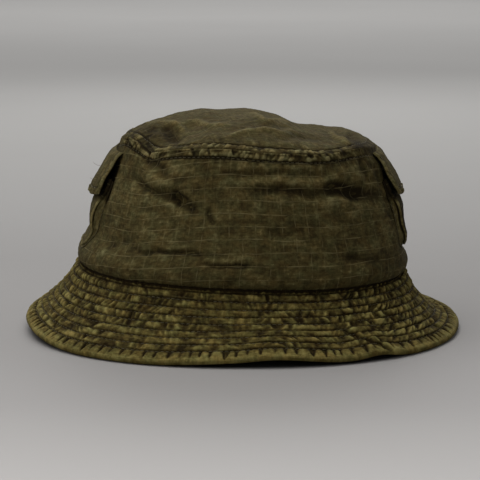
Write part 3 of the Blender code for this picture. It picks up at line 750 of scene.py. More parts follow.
def add_wall(name, start, end, mats, cad):
    nu, nv = fine(560, 5), fine(148, 4)
    theta, t = np.meshgrid(np.linspace(start, end, nu + 1), np.linspace(0, 1, nv + 1), indexing="ij")
    p = wall_base(theta, t)
    n = normals(p)
    broad, detail, folds = wall_parts(theta, t, p)
    h = broad + detail
    outer = p + n * (h * MM)[..., None]
    low = blur(h, 3, 3)
    inner = (p + n * ((low - 0.75) * MM)[..., None])[::5, ::4]
    below = (1 - t) * 76
    # ridges of the small relief lighter and its hollows darker, wear and painted shade together; painted shade in the
    # fold valleys and painted light on their shoulders
    wear_and_shade = (detail - blur(detail, int(8 * FINE) + 1, int(8 * FINE) + 1)) * (1.2 + 0.7 * (1 - smooth(below, 4, 6))) + 0.38 * np.clip(folds, -2.0, 1.0)
    arc = theta * 88.0
    px, py = picture(p)
    facing = smooth(-np.sin(theta), -0.05, 0.25)
    ends = shows(px, facing)
    ragged = (0.6 + 0.7 * noise2(arc / 5, below * 0, 18)) * ends
    wear_and_shade = wear_and_shade + 0.75 * bell(below, 0.0, 0.45) * ragged - 0.7 * bell(below, 1.25, 0.5) * ragged
    # painted shade: a dark line at the wall's base where it overhangs the brim, and a dark line along the groove of the
    # stitch row
    wear_and_shade = wear_and_shade - 1.0 * bell(t * 76, 0, 0.45) - 1.0 * bell(below, 5.0, 0.75) * (0.85 + 0.5 * noise2(arc / 4, below * 0, 19)) * (0.15 + 0.85 * ends)
    wear_and_shade = wear_and_shade - (0.34 + 0.55 * noise2(arc / 7, below / 6, 20)) * (1 - smooth(below, 4.4, 5.2))
    # painted shade in the gaps between the gathers and in the listed patches; patches with a negative strength are
    # painted light
    wear_and_shade = wear_and_shade - (1.3 * slits(px, py) + patches(px, py, WALL_SHADE_SPOTS)) * facing
    # painted shade on the wall in the gap under each flap
    wear_and_shade = wear_and_shade - 1.9 * np.where(np.cos(theta) > 0, smooth(np.cos(theta), 0.945, 0.965), smooth(-np.cos(theta), 0.895, 0.915)) * smooth(p[..., 2] / MM, 75, 80) * (1 - smooth(p[..., 2] / MM, 99, 102))
    tilt = 0.035
    gx, gy = theta * 91.0, t * 78.0
    deg = np.degrees(theta)
    grain = np.stack((gx + gy * tilt, gy - gx * tilt + 2.2 * np.cos(2 * theta) + 3.4 * smooth(-deg, 80, 165)), -1)
    return shell(name, outer, inner, wear_and_shade, grain, mats, "hat_body", "ripstop_olive", (cad,)), outer, n


SLIT = math.radians(0.12)
wall_front, wall_front_points, wall_front_n = add_wall("crown_wall_front", -math.pi + SLIT, -SLIT, crown_cloth, "crown_front_panel")
wall_rear, _, _ = add_wall("crown_wall_rear", SLIT, math.pi - SLIT, crown_cloth, "crown_rear_panel")

# ---------------------------------------------------------------- crown top
TOP_FOLDS = (
    # soft ridges, height positive
    (((-64, 57.5), (-51, 60.5), (-41, 59.5), (-35, 56), (-30.5, 53)), 1.7, -1.0, 0.45),
    (((-44, 61), (-27, 60.5), (-5, 58.5)), 1.5, -0.7, 0.4),
    (((-11, 51), (-5, 53.5), (5, 55.5), (14, 56), (29, 54.5)), 1.7, -0.9, 0.45),
    (((0, 65.5), (8, 65), (13, 61.5), (32, 60)), 1.7, -0.9, 0.4),
    (((50, 57), (55, 53.5), (60, 50), (67, 45.5)), 1.7, -0.9, 0.5),
    (((62, 56), (68, 50.5), (73, 44.5)), 3.0, 1.3, 0.4),
    (((-48, 58), (-43, 52), (-39, 48)), 3.0, 1.1, 0.4),
    (((20, 50), (38, 51), (52, 49)), 2.2, 0.7, 0.4),
)


def top_parts(theta, rho, p):
    reach = plan_radius(theta, 76.4, 79.4)
    inward = (1 - rho) * reach
    px, py = picture(p)
    x, y = p[..., 0] / MM, p[..., 1] / MM
    visible = smooth(-y, -18, 6)
    h = 1.0 * noise2(x / 40, y / 40, 21) + 0.5 * (1 - 2.2 * np.abs(noise2(x / 26 + 0.3, y / 33, 22)))
    h = h + 0.30 * (1 - 2 * np.abs(noise2(x / 13, y / 11, 26)))
    detail = (0.20 * noise2(x / 5, y / 5, 23) + 0.10 * noise2(x / 2, y / 2, 24)) * smooth(inward, 3, 12)
    front = 0
    for line, width, deep, shoulder in TOP_FOLDS:
        front = front + fold(px, py, line, width, deep * 1.6, shoulder, wobble=1.2)
    h = h + front * visible
    h = h * smooth(inward, 3, 12)
    arc = theta * 78.0
    slump = turn_bell(theta, -16, 22)
    ends = shows(px, visible)
    band = (1 - smooth(inward, 4.0, 5.0)) * smooth(inward, -0.6, 0.9) * (0.3 + 0.7 * ends)
    amount = np.clip(0.8 + 0.8 * noise2(arc / 16, inward * 0, 9), 0.2, 1.4) * (1 - 0.6 * slump)
    lean_in = -0.6 + 2.0 * smooth(px, 36, 48) * visible
    bunch = gathers(arc + lean_in * inward + 1.3 * noise2(arc / 5, inward / 4, 31), 4.4, 27) * (0.75 + 0.6 * noise2(arc / 2.2, inward / 2.6, 28))
    detail = detail + band * (0.10 + 1.15 * amount * bunch)
    detail = detail + band * 0.55 * noise2(arc / 7, inward / 5, 32)
    detail = detail - 0.95 * bell(inward, 4.8, 0.75) * (0.8 + 0.5 * noise2(arc / 3.4, inward * 0, 29)) * (1 - 0.5 * slump) * ends - 0.3 * slits(px, py) * visible
    detail = detail + 0.60 * amount * noise2(arc / 4.2, inward / 12, 30) * bell(inward, 7, 3.2)
    detail = detail - 0.35 * bell(inward, 0, 0.5)
    return h, detail, front * visible


def top_height(theta, rho, p):
    broad, detail, _ = top_parts(theta, rho, p)
    return broad + detail


def add_top():
    nu, nv = fine(900, 5), fine(120, 4)
    theta = np.linspace(-math.pi / 2 - math.pi, math.pi / 2, nu + 1)
    ease = np.linspace(0, 1, nv + 1)
    rho = 1 - (ease ** 1.15) * 0.995
    theta, rho = np.meshgrid(theta, rho, indexing="ij")
    p = top_base(theta, rho)
    n = normals(p)
    n[-1] = n[0]
    centre = smooth(rho, 0.02, 0.10)[..., None]
    n = n * centre + np.array((0, 0, 1.0)) * (1 - centre)
    n /= np.linalg.norm(n, axis=-1, keepdims=True)
    broad, detail, folds = top_parts(theta, rho, p)
    broad[-1], detail[-1] = broad[0], detail[0]
    h = broad + detail
    outer = p + n * (h * MM)[..., None]
    inner = (p + n * ((blur(h, 3, 2) - 0.75) * MM)[..., None])[::5, ::4]
    inner[-1] = inner[0]
    reach = plan_radius(theta, 76.4, 79.4)
    inward = (1 - rho) * reach
    # ridges of the small relief lighter and its hollows darker, wear and painted shade together; painted light on the
    # fold ridges and painted shade in their valleys
    wear_and_shade = (detail - blur(detail, int(8 * FINE) + 1, int(6 * FINE) + 1)) * (1.2 + 0.7 * (1 - smooth(inward, 4, 6))) + 0.34 * np.clip(folds, -1.6, 1.6)
    arc = theta * 78.0
    px, py = picture(p)
    visible = smooth(-p[..., 1] / MM, -18, 6)
    ends = shows(px, visible)
    wear_and_shade = wear_and_shade + 0.75 * bell(inward, 0.0, 0.45) * (0.6 + 0.7 * noise2(arc / 5, inward * 0, 18)) * ends
    # painted shade along the groove of the stitch row
    wear_and_shade = wear_and_shade - 0.95 * bell(inward, 4.9, 0.75) * (0.75 + 0.6 * noise2(arc / 4, inward * 0, 33)) * (0.1 + 0.9 * ends)
    wear_and_shade = wear_and_shade - (0.58 + 0.60 * noise2(arc / 7, inward / 6, 34)) * (1 - smooth(inward, 4.4, 5.2))
    # painted shade in the gaps between the gathers and in the listed patches
    wear_and_shade = wear_and_shade - (0.5 * slits(px, py) + patches(px, py, TOP_SHADE_SPOTS)) * visible
    grain = np.stack((p[..., 0] / MM * 0.97 + p[..., 1] / MM * 0.26, p[..., 1] / MM * 1.02 - p[..., 0] / MM * 0.26), -1)
    return shell("crown_top", outer, inner, wear_and_shade, grain, top_cloth, "hat_body", "ripstop_olive", ("crown_top_panel",),
                 ring=True, cap=True)


crown_top = add_top()

# ---------------------------------------------------------------- brim
ROW_AT = [1 - (ROW_FIRST + ROW_PITCH * k) / BRIM_WIDE for k in range(ROWS)]
BR = 118.0


def brim_tucks(theta, s, seed=0):
    """Wedge-shaped tucks between the outer row and the edge: 0 to 1, widest at the row."""
    arc = theta * BR
    q = np.clip(s / (ROW_FIRST / MM), 0, 1)
    period = int(round(2 * math.pi * BR / 23))
    wob = 5 * noise2(arc * period / (2 * math.pi * BR), 0 * s, 47 + seed, period)
    count = 124
    phase = (arc + wob - 0.12 * s) * count / (2 * math.pi * BR)
    k = np.floor(phase)
    size = _hash(np.mod(k, count).astype(np.int64), np.zeros_like(k, np.int64), 3 * np.ones_like(k, np.int64), 9)
    size = 0.30 + 0.70 * size
    shift = _hash(np.mod(k, count).astype(np.int64), np.ones_like(k, np.int64), 3 * np.ones_like(k, np.int64), 19)
    dist = np.abs(phase - k - 0.32 - 0.36 * shift) * 5.0
    width = 0.30 + 0.90 * size * smooth(q, 0.1, 1.0)
    return size * np.exp(-(dist / width) ** 2) * smooth(q, 0.34 - 0.30 * size, 0.70 - 0.25 * size) * (q < 1)


def brim_height(theta, s, upper=True):
    """Height of the brim's cloth in millimetres; s is millimetres in from the edge, negative past it."""
    arc = theta * BR
    around = int(round(2 * math.pi * BR))

    def ring(x, y, wave, seed):
        period = max(int(round(around / wave)), 1)
        return noise2(x * period / (2 * math.pi * BR), y, seed, period)

    seed = 0 if upper else 100
    cell = (s - ROW_FIRST / MM) / (ROW_PITCH / MM)
    channel = np.floor(cell)
    f = cell - channel
    inner = smooth(s, 7.5, 8.5)
    puff = (1 - np.abs(2 * f - 1) ** 2.4)
    rows = 0.50 * puff
    wander = ring(arc, channel * 3.7, 13, 41 + seed) * 3.0
    side_bunch = turn_bell(theta, -42, 15)
    slant = (f - 0.5) * (5.5 * ring(arc, channel * 2.3, 15, 42 + seed) - 3.2 * side_bunch)
    pucker = ring(arc + slant + wander, channel * 5.1 + 0.45 * f, 5.0, 43 + seed)
    pucker2 = ring(arc + slant * 1.5, channel * 4.3 + 0.7 * f, 2.5, 44 + seed)
    strength = 0.86 + 0.75 * ring(arc, s / 13, 30, 45 + seed) + 0.5 * side_bunch
    strength = np.clip(strength, 0.3, 1.7)
    calm = turn_bell(theta, -97, 20)
    strength = strength * (1 - 0.40 * calm)
    # rounded backs with sharp dark pinches between them
    ridged = 0.65 - 2.1 * np.abs(pucker) ** 1.15
    chan = 0.22 * puff + puff ** 0.6 * strength * (1.10 * ridged + 0.60 * pucker2)
    chan = chan + calm * 0.35 * puff * ring(arc, s / 2.6, 9, 46 + seed)
    chan = chan + 0.45 * puff * ring(arc, channel * 1.7, 8.5, 53 + seed)
    chan = chan - 0.75 * (bell(f, 0, 0.09) + bell(f, 1, 0.09)) * (0.75 + 0.5 * ring(arc, channel * 0.9, 6, 54 + seed))

    # between the last row and the edge: wedge-shaped tucks that open towards the row
    q = np.clip(s / (ROW_FIRST / MM), 0, 1)
    edge = 0.75 * (1 - np.abs(2 * q - 1) ** 3) - 1.9 * brim_tucks(theta, s, seed) + 0.20 * ring(arc, s / 3, 2.6, 48 + seed)
    edge = edge - 0.55 * bell(q, 1.0, 0.07)

    h = np.where(s < ROW_FIRST / MM, edge, chan)
    h = h - 0.7 * smooth(s, 49.0, 50.3)
    h = h + 0.45 * ring(arc, s / 24, 36, 50 + seed) + 0.10 * ring(arc, s / 1.6, 1.8, 51 + seed)
    if upper:
        # the pinch to the right of the front, where the brim is bent upwards
        deg = np.degrees(theta)
        d, w = along(deg * 2.06, s, ((-131, 27), (-124, 19), (-116, 11), (-109, 2)))
        h = h + (0.8 * np.exp(-((d - 3.5) / 2.6) ** 2) - 1.5 * np.exp(-(d / 1.5) ** 2)) * smooth(w, 0, 0.35)
        d, w = along(deg * 2.06, s, ((-113, 34), (-106, 24), (-101, 16)))
        h = h - 1.2 * np.exp(-(d / 1.4) ** 2) * smooth(w, 0, 0.2) * (1 - smooth(w, 0.8, 1))
        d, w = along(deg * 2.06, s, ((-98, 40), (-90, 31), (-86, 22)))
        h = h - 1.1 * np.exp(-(d / 1.4) ** 2) * smooth(w, 0, 0.2) * (1 - smooth(w, 0.8, 1))
    return h


ROLL = 1.25 * MM


def add_brim_upper(name, start, end, cad):
    nu = fine(740, 5)
    flat = np.linspace(BRIM_WIDE / MM, 1.25, fine(116, 4) - 7)
    s = np.concatenate((flat, np.zeros(8)))
    roll = np.concatenate((np.zeros(len(flat)), np.linspace(0, 1, 9)[1:]))
    theta, s = np.meshgrid(np.linspace(start, end, nu + 1), s, indexing="ij")
    roll = np.broadcast_to(roll, theta.shape)
    u = np.minimum(1 - s * MM / BRIM_WIDE, 1 - 1.25 * MM / BRIM_WIDE)
    p = brim_base(theta, u)
    # normals from the even surface, before the roll
    e = 1e-3
    du = brim_base(theta + e, u) - brim_base(theta - e, u)
    dv = brim_base(theta, u - e) - brim_base(theta, np.minimum(u + e, 1.0))
    n = np.cross(du, dv)
    n /= np.linalg.norm(n, axis=-1, keepdims=True)
    out = -dv / np.linalg.norm(dv, axis=-1, keepdims=True)
    depth = 1.3 * MM
    s_real = np.where(roll > 0, 1.25 - 1.25 * np.sin(np.minimum(roll, 0.5) * math.pi), s)
    h = brim_height(theta, s_real)
    h = h * (1 - 0.85 * np.clip(roll * 2, 0, 1))
    angle = roll * math.pi
    centre = p - n * depth
    outer = centre + n * (depth * np.cos(angle))[..., None] + out * (1.25 * MM * np.sin(angle))[..., None]
    way = n * np.cos(angle)[..., None] + out * np.sin(angle)[..., None]
    outer = outer + way * (h * MM)[..., None]
    outer[..., 2] = np.maximum(outer[..., 2], 0.00003)
    inner = (p - n * np.where(roll > 0, depth * 0.9, (0.75 - 0.35 * np.clip(blur(h, 3, 3), -1, 1)) * MM)[..., None]
             + out * (0.4 * MM * (roll > 0))[..., None])
    inner[..., 2] = np.maximum(inner[..., 2], 0.0002)
    inner = inner[::5, ::4]
    # ridges of the puckers lighter and their hollows darker, wear and painted shade together
    wear_and_shade = (h - blur(h, int(6 * FINE) + 1, int(7 * FINE) + 1)) * 0.95
    arc = theta * BR
    wear_and_shade = wear_and_shade + (0.36 * noise2(arc / 13, s_real / 7, 57) + 0.28 * noise2(arc / 5.5, s_real / 4, 58) - 0.03) * smooth(s_real, 8, 9.5)
    # painted shade in the tucks by the edge
    wear_and_shade = wear_and_shade - 0.95 * brim_tucks(theta, s_real)
    wear_and_shade = wear_and_shade + 0.34 * bell(s_real, 0.5, 3.2) + 0.20 * (roll > 0)
    # painted shade where the brim runs under the crown's base, and darker towards the crown
    wear_and_shade = wear_and_shade - 1.3 * smooth(s_real, 49.5, 50.3) - 0.30 * smooth(s_real, 40, 49)
    grain = np.stack((theta * BR * 1.02, s_real + 1.5 * np.sin(3 * theta)), -1)

    # the seam allowance, turned up inside the crown's base
    rows = 4
    ring_theta, up = np.meshgrid(theta[:, 0], np.linspace(0.055, 0.004, rows * 4), indexing="ij")
    pw = wall_base(ring_theta, up)
    nw = normals(pw)
    nw = nw * np.sign(np.sum(nw * np.stack((np.cos(ring_theta), np.sin(ring_theta), 0 * up), -1), -1, keepdims=True))
    outer = np.concatenate((pw - nw * 1.25 * MM, outer), 1)
    inner = np.concatenate(((pw - nw * 1.60 * MM)[::5, ::4], inner), 1)
    # the turned-up allowance is painted dark as the shade under the crown's base
    wear_and_shade = np.concatenate((0 * up - 2.0, wear_and_shade), 1)
    grain = np.concatenate((np.stack((ring_theta * BR * 1.02, 52 + up * 76), -1), grain), 1)
    return shell(name, outer, inner, wear_and_shade, grain, brim_cloth, "hat_body", "ripstop_olive", (cad,))


brim_front = add_brim_upper("brim_upper_front", -math.pi + SLIT, -SLIT, "brim_top_front")
brim_rear = add_brim_upper("brim_upper_rear", SLIT, math.pi - SLIT, "brim_top_rear")


def brim_point(theta, s, out=0.0, upper=True):
    """A point on the puckered face, and the even face's normal."""
    u = np.clip(1 - s * MM / BRIM_WIDE, 0, 1 - 1.0 * MM / BRIM_WIDE)
    e = 1e-3
    du = brim_base(theta + e, u) - brim_base(theta - e, u)
    dv = brim_base(theta, u - e) - brim_base(theta, u + e)
    n = np.cross(du, dv)
    n /= np.linalg.norm(n, axis=-1, keepdims=True)
    if upper:
        p = brim_base(theta, u) + n * ((brim_height(theta, s) * MM) + out)[..., None]
    else:
        h = np.clip(0.5 * brim_height(theta, s, False), -0.5, 0.9)
        p = brim_base(theta, u) - n * ((2.75 + h) * MM + out)[..., None]
        n = -n
    return p, n


def add_brim_under(name, start, end, cad):
    nu, nv = fine(330, 5), fine(72, 4)
    s = np.linspace(1.15, BRIM_WIDE / MM - 0.5, nv + 1)
    theta, s = np.meshgrid(np.linspace(start, end, nu + 1), s, indexing="ij")
    u = np.clip(1 - s * MM / BRIM_WIDE, 0, 1)
    e = 1e-3
    p = brim_base(theta, u)
    n = np.cross(brim_base(theta + e, u) - brim_base(theta - e, u), brim_base(theta, u - e) - brim_base(theta, u + e))
    n /= np.linalg.norm(n, axis=-1, keepdims=True)
    h = np.clip(0.5 * brim_height(theta, s, False), -0.5, 0.9)
    outer = p - n * ((2.75 + h) * MM)[..., None]
    outer[..., 2] = np.maximum(outer[..., 2], 0.00003)
    inner = p - n * (2.0 * MM)
    inner[..., 2] = np.maximum(inner[..., 2], 0.0004)
    # hollows darker and ridges lighter, wear and painted shade together
    wear_and_shade = (h - blur(h, 4, 4)) * 0.9
    grain = np.stack((theta * BR, s), -1)
    return shell(name, outer, inner[::5, ::4], wear_and_shade, grain, inside_cloth, "hat_body", "ripstop_olive_inside", (cad,))


add_brim_under("brim_under_front_ply", -math.pi + SLIT, -SLIT, "brim_under_front")
add_brim_under("brim_under_rear_ply", SLIT, math.pi - SLIT, "brim_under_rear")


def add_core():
    nu, nv = 180, 12
    theta, s = np.meshgrid(np.linspace(-math.pi, math.pi, nu + 1), np.linspace(BRIM_WIDE / MM - 2.5, 2.4, nv + 1), indexing="ij")
    u = 1 - s * MM / BRIM_WIDE
    e = 1e-3
    p = brim_base(theta, u)
    n = np.cross(brim_base(theta + e, u) - brim_base(theta - e, u), brim_base(theta, u - e) - brim_base(theta, u + e))
    n /= np.linalg.norm(n, axis=-1, keepdims=True)
    outer, inner = p - n * 1.25 * MM, p - n * 1.75 * MM
    wear_and_shade = np.zeros(theta.shape)
    grain = np.stack((theta * BR, s), -1)
    return shell("brim_canvas", outer, inner, wear_and_shade, grain, canvas, "hat_body", "canvas_interlining", ("brim_interlining",), ring=True)


add_core()

# one spiral of stitches over the brim, and its bobbin side underneath
turns = np.linspace(0, ROWS, ROWS * 720 + 1)
spiral_theta = math.pi / 2 + 2 * math.pi * turns
spiral_s = ROW_FIRST / MM + (ROW_PITCH / MM) * np.floor(turns + 1e-9)
spiral_s = ROW_FIRST / MM + (ROW_PITCH / MM) * (np.floor(turns) + smooth(turns - np.floor(turns), 0.985, 1.0))
spiral_s = np.minimum(spiral_s, ROW_FIRST / MM + (ROW_PITCH / MM) * (ROWS - 1))
pts, nrm = brim_point(spiral_theta, spiral_s)
stitches("brim_spiral_stitches", pts, nrm, thread, 2.5 * MM, 0.5 * MM, 0.17 * MM, 0.05 * MM,
         body="hat_body", slot="sewing_thread", replaces=("brim_spiral_stitch",))
pts, nrm = brim_point(spiral_theta, spiral_s, upper=False)
stitches("brim_spiral_bobbin", pts, nrm, thread, 2.5 * MM, 0.5 * MM, 0.17 * MM, 0.05 * MM, body="hat_body", slot="sewing_thread")


# ---------------------------------------------------------------- crown stitch rows
def wall_row(below, lift=0.0, count=2200, start=-math.pi, end=math.pi):
    theta = np.linspace(start, end, count)
    t = np.full_like(theta, 1 - below / 76.0)
    e = 1e-3
    p = wall_base(theta, t)
    n = np.cross(wall_base(theta + e, t) - wall_base(theta - e, t), wall_base(theta, t + e) - wall_base(theta, t - e))
    n /= np.linalg.norm(n, axis=-1, keepdims=True)
    return p + n * ((wall_height(theta, t, p) * MM) + lift)[..., None], n


def top_row(inward, lift=0.0, count=2200):
    theta = np.linspace(-1.5 * math.pi, math.pi / 2, count)
    rho = 1 - inward / plan_radius(theta, 76.4, 79.4)
    e = 1e-3
    p = top_base(theta, rho)
    n = np.cross(top_base(theta + e, rho) - top_base(theta - e, rho), top_base(theta, rho - e) - top_base(theta, rho + e))
    n /= np.linalg.norm(n, axis=-1, keepdims=True)
    return p + n * ((top_height(theta, rho, p) * MM) + lift)[..., None], n


pts, nrm = wall_row(4.75)
stitches("crown_lower_stitches", pts, nrm, thread, 2.4 * MM, 0.5 * MM, 0.17 * MM, 0.03 * MM,
         body="hat_body", slot="sewing_thread", replaces=("crown_lower_stitch_row",))
pts, nrm = top_row(4.7)
stitches("crown_upper_stitches", pts, nrm, thread, 2.4 * MM, 0.5 * MM, 0.17 * MM, 0.03 * MM,
         body="hat_body", slot="sewing_thread", replaces=("crown_upper_stitch_row",))


# ---------------------------------------------------------------- inside the crown
def add_tape():
    nu, nv = 240, 12
    theta, v = np.meshgrid(np.linspace(-math.pi, math.pi, nu + 1), np.linspace(0, 1, nv + 1), indexing="ij")
    t = 1 - (0.115 - 0.075 * np.minimum(v / 0.5, 1))
    e = 1e-3
    pw = wall_base(theta, t)
    nw = np.cross(wall_base(theta + e, t) - wall_base(theta - e, t), wall_base(theta, t + e) - wall_base(theta, t - e))
    nw /= np.linalg.norm(nw, axis=-1, keepdims=True)
    rho = 0.972 - 0.075 * np.clip((v - 0.5) / 0.5, 0, 1)
    pt = top_base(theta, rho)
    nt = np.cross(top_base(theta + e, rho) - top_base(theta - e, rho), top_base(theta, rho - e) - top_base(theta, rho + e))
    nt /= np.linalg.norm(nt, axis=-1, keepdims=True)
    low = pw - nw * 1.9 * MM
    high = pt - nt * 1.6 * MM
    blend = smooth(v, 0.44, 0.56)[..., None]
    face = low * (1 - blend) + high * blend
    nn = nw * (1 - blend) + nt * blend
    nn /= np.linalg.norm(nn, axis=-1, keepdims=True)
    outer, inner = face, face - nn * 0.6 * MM
    grain = np.stack((theta * 78, v * 14), -1)
    return shell("crown_tape", outer, inner, np.zeros(theta.shape), grain, twill, "hat_body", "twill_tape", ("crown_seam_tape",), ring=True)


add_tape()


def add_sweatband():
    nu, nv = fine(400, 4), 20
    theta, v = np.meshgrid(np.linspace(math.radians(90.3), math.radians(449.7), nu + 1), np.linspace(0, 1, nv + 1), indexing="ij")
    t = 0.02 + v * 28.0 / 74
    e = 1e-3
    p = wall_base(theta, t)
    n = np.cross(wall_base(theta + e, t) - wall_base(theta - e, t), wall_base(theta, t + e) - wall_base(theta, t - e))
    n /= np.linalg.norm(n, axis=-1, keepdims=True)
    arc = theta * 95
    tall = v * 28
    h = 0.25 * noise2(arc / 9, tall / 30, 61) + 0.16 * noise2(arc / 3.2, tall / 12, 62) * (0.3 + bell(tall, 27, 3) + bell(tall, 1, 3))
    h = h - 0.3 * bell(tall, 2.5, 0.6)
    face = p - n * ((1.6 + 0.5 * smooth(v, 0.7, 1.0)) * MM)[..., None]
    outer = face
    inner = face - n * ((1.0 + h * 0.5) * MM)[..., None]
    grain = np.stack((arc, tall), -1)
    return shell("sweatband_twill", outer, inner, np.zeros(theta.shape), grain, twill, "hat_body", "twill_tape", ("sweatband",))


add_sweatband()


# ---------------------------------------------------------------- pockets and flaps
def rounded(d, r):
    """Share of full height at distance d from an edge rounded over r."""
    q = np.clip(1 - d / r, 0, 1)
    return np.sqrt(np.maximum(1 - q * q, 0))


# height, then how far the pocket's front stands off the wall in its middle and at its side edges; millimetres
_BAG = {-1: np.array(((50, 0.2, 0.2), (54.5, 0.3, 0.7), (59, 0.8, 2.3), (64, 1.8, 4.4), (69, 3.0, 5.2), (74, 3.5, 4.8),
                      (78, 2.8, 3.0), (83, 2.0, 1.2), (87, 1.4, 0.9), (91, 1.1, 0.8))),
        1: np.array(((50, 1.2, 2.0), (54.5, 3.2, 4.8), (59, 4.2, 5.9), (64, 4.5, 6.1), (69, 5.2, 6.2), (74, 6.0, 5.4),
                     (78, 4.9, 3.8), (81, 3.3, 2.0), (84, 2.4, 1.4), (87, 1.8, 1.0), (91, 1.3, 0.8)))}


def pocket_depth(sign, y, z):
    bag = _BAG[sign]
    total = 0
    for shift in (-2, -1, 0, 1, 2):
        mid = np.interp(z / MM + shift, bag[:, 0], bag[:, 1])
        side_edge = np.interp(z / MM + shift, bag[:, 0], bag[:, 2])
        if sign > 0:
            side_edge = side_edge - 2.9 * (y < 0) * bell(z / MM, 66, 10)
        total = total + mid + (side_edge - mid) * np.clip(np.abs(y) / POCKET_HALF, 0, 1.1) ** 2
    return total / 5 * MM


def pocket_half(z):
    rise = z - POCKET_LOW
    bend = POCKET_HALF - POCKET_CORNER + np.sqrt(np.maximum(POCKET_CORNER ** 2 - (POCKET_CORNER - np.clip(rise, 0, POCKET_CORNER)) ** 2, 0))
    return np.where(rise >= POCKET_CORNER, POCKET_HALF, bend)


def flap_low(y):
    return FLAP_LOW + 1.2 * MM + 3.0 * MM * (np.abs(y) / FLAP_HALF) ** 2.2


def flap_surface(sign, y, v):
    """The flap's middle face: v 0 sewn edge, 1 free edge."""
    low = flap_low(y)
    high = FLAP_HIGH + 0.6 * MM
    z = high + (low - high) * v
    top = side_base(sign, y, high + 0 * y)[..., 0] + sign * (1.0 + 1.0 * smooth(v, 0, 0.10)) * MM
    mid = side_base(sign, 0 * y, FLAP_LOW + 0 * y)[..., 0] + sign * (7.2 if sign < 0 else 8.7) * MM
    bow = np.where(y < 0, 5.8, 7.2) if sign > 0 else 8.0
    x_low = mid - sign * bow * MM * (np.abs(y) / FLAP_HALF) ** 1.9
    x = top + (x_low - top) * v * (1.35 - 0.35 * v)
    soft = noise2(y / (17 * MM), v * 1.5, 71 + sign) + 0.5 * noise2(y / (9 * MM), v * 2.6, 79 + sign)
    x = x + sign * 0.9 * MM * soft * smooth(v, 0.05, 0.4)
    return np.stack((x, y, z), -1)


def loose_threads(name, ends, radius):
    """A few free ends of thread, each a thin tapering cord."""
    verts, faces, sides = [], [], 5
    for line in ends:
        tangent = np.gradient(line, axis=0)
        tangent /= np.linalg.norm(tangent, axis=1, keepdims=True)
        a = np.cross(tangent, (0.1, 1.0, 0.2))
        a /= np.linalg.norm(a, axis=1, keepdims=True)
        b = np.cross(tangent, a)
        base, n = len(verts), len(line)
        for k in range(n):
            r = radius * (1 - 0.5 * k / n)
            for j in range(sides):
                w = 2 * math.pi * j / sides
                verts.append(line[k] + (a[k] * math.cos(w) + b[k] * math.sin(w)) * r)
        for k in range(n - 1):
            for j in range(sides):
                p, q = base + k * sides + j, base + k * sides + (j + 1) % sides
                faces.append((p, q, q + sides, p + sides))
        faces.append(tuple(base + j for j in range(sides))[::-1])
        faces.append(tuple(base + (n - 1) * sides + j for j in range(sides)))
    count = len(verts)
    return make(name, verts, faces, pale_thread, np.full(count, 0.3), np.zeros((count, 2)), slot="sewing_thread")


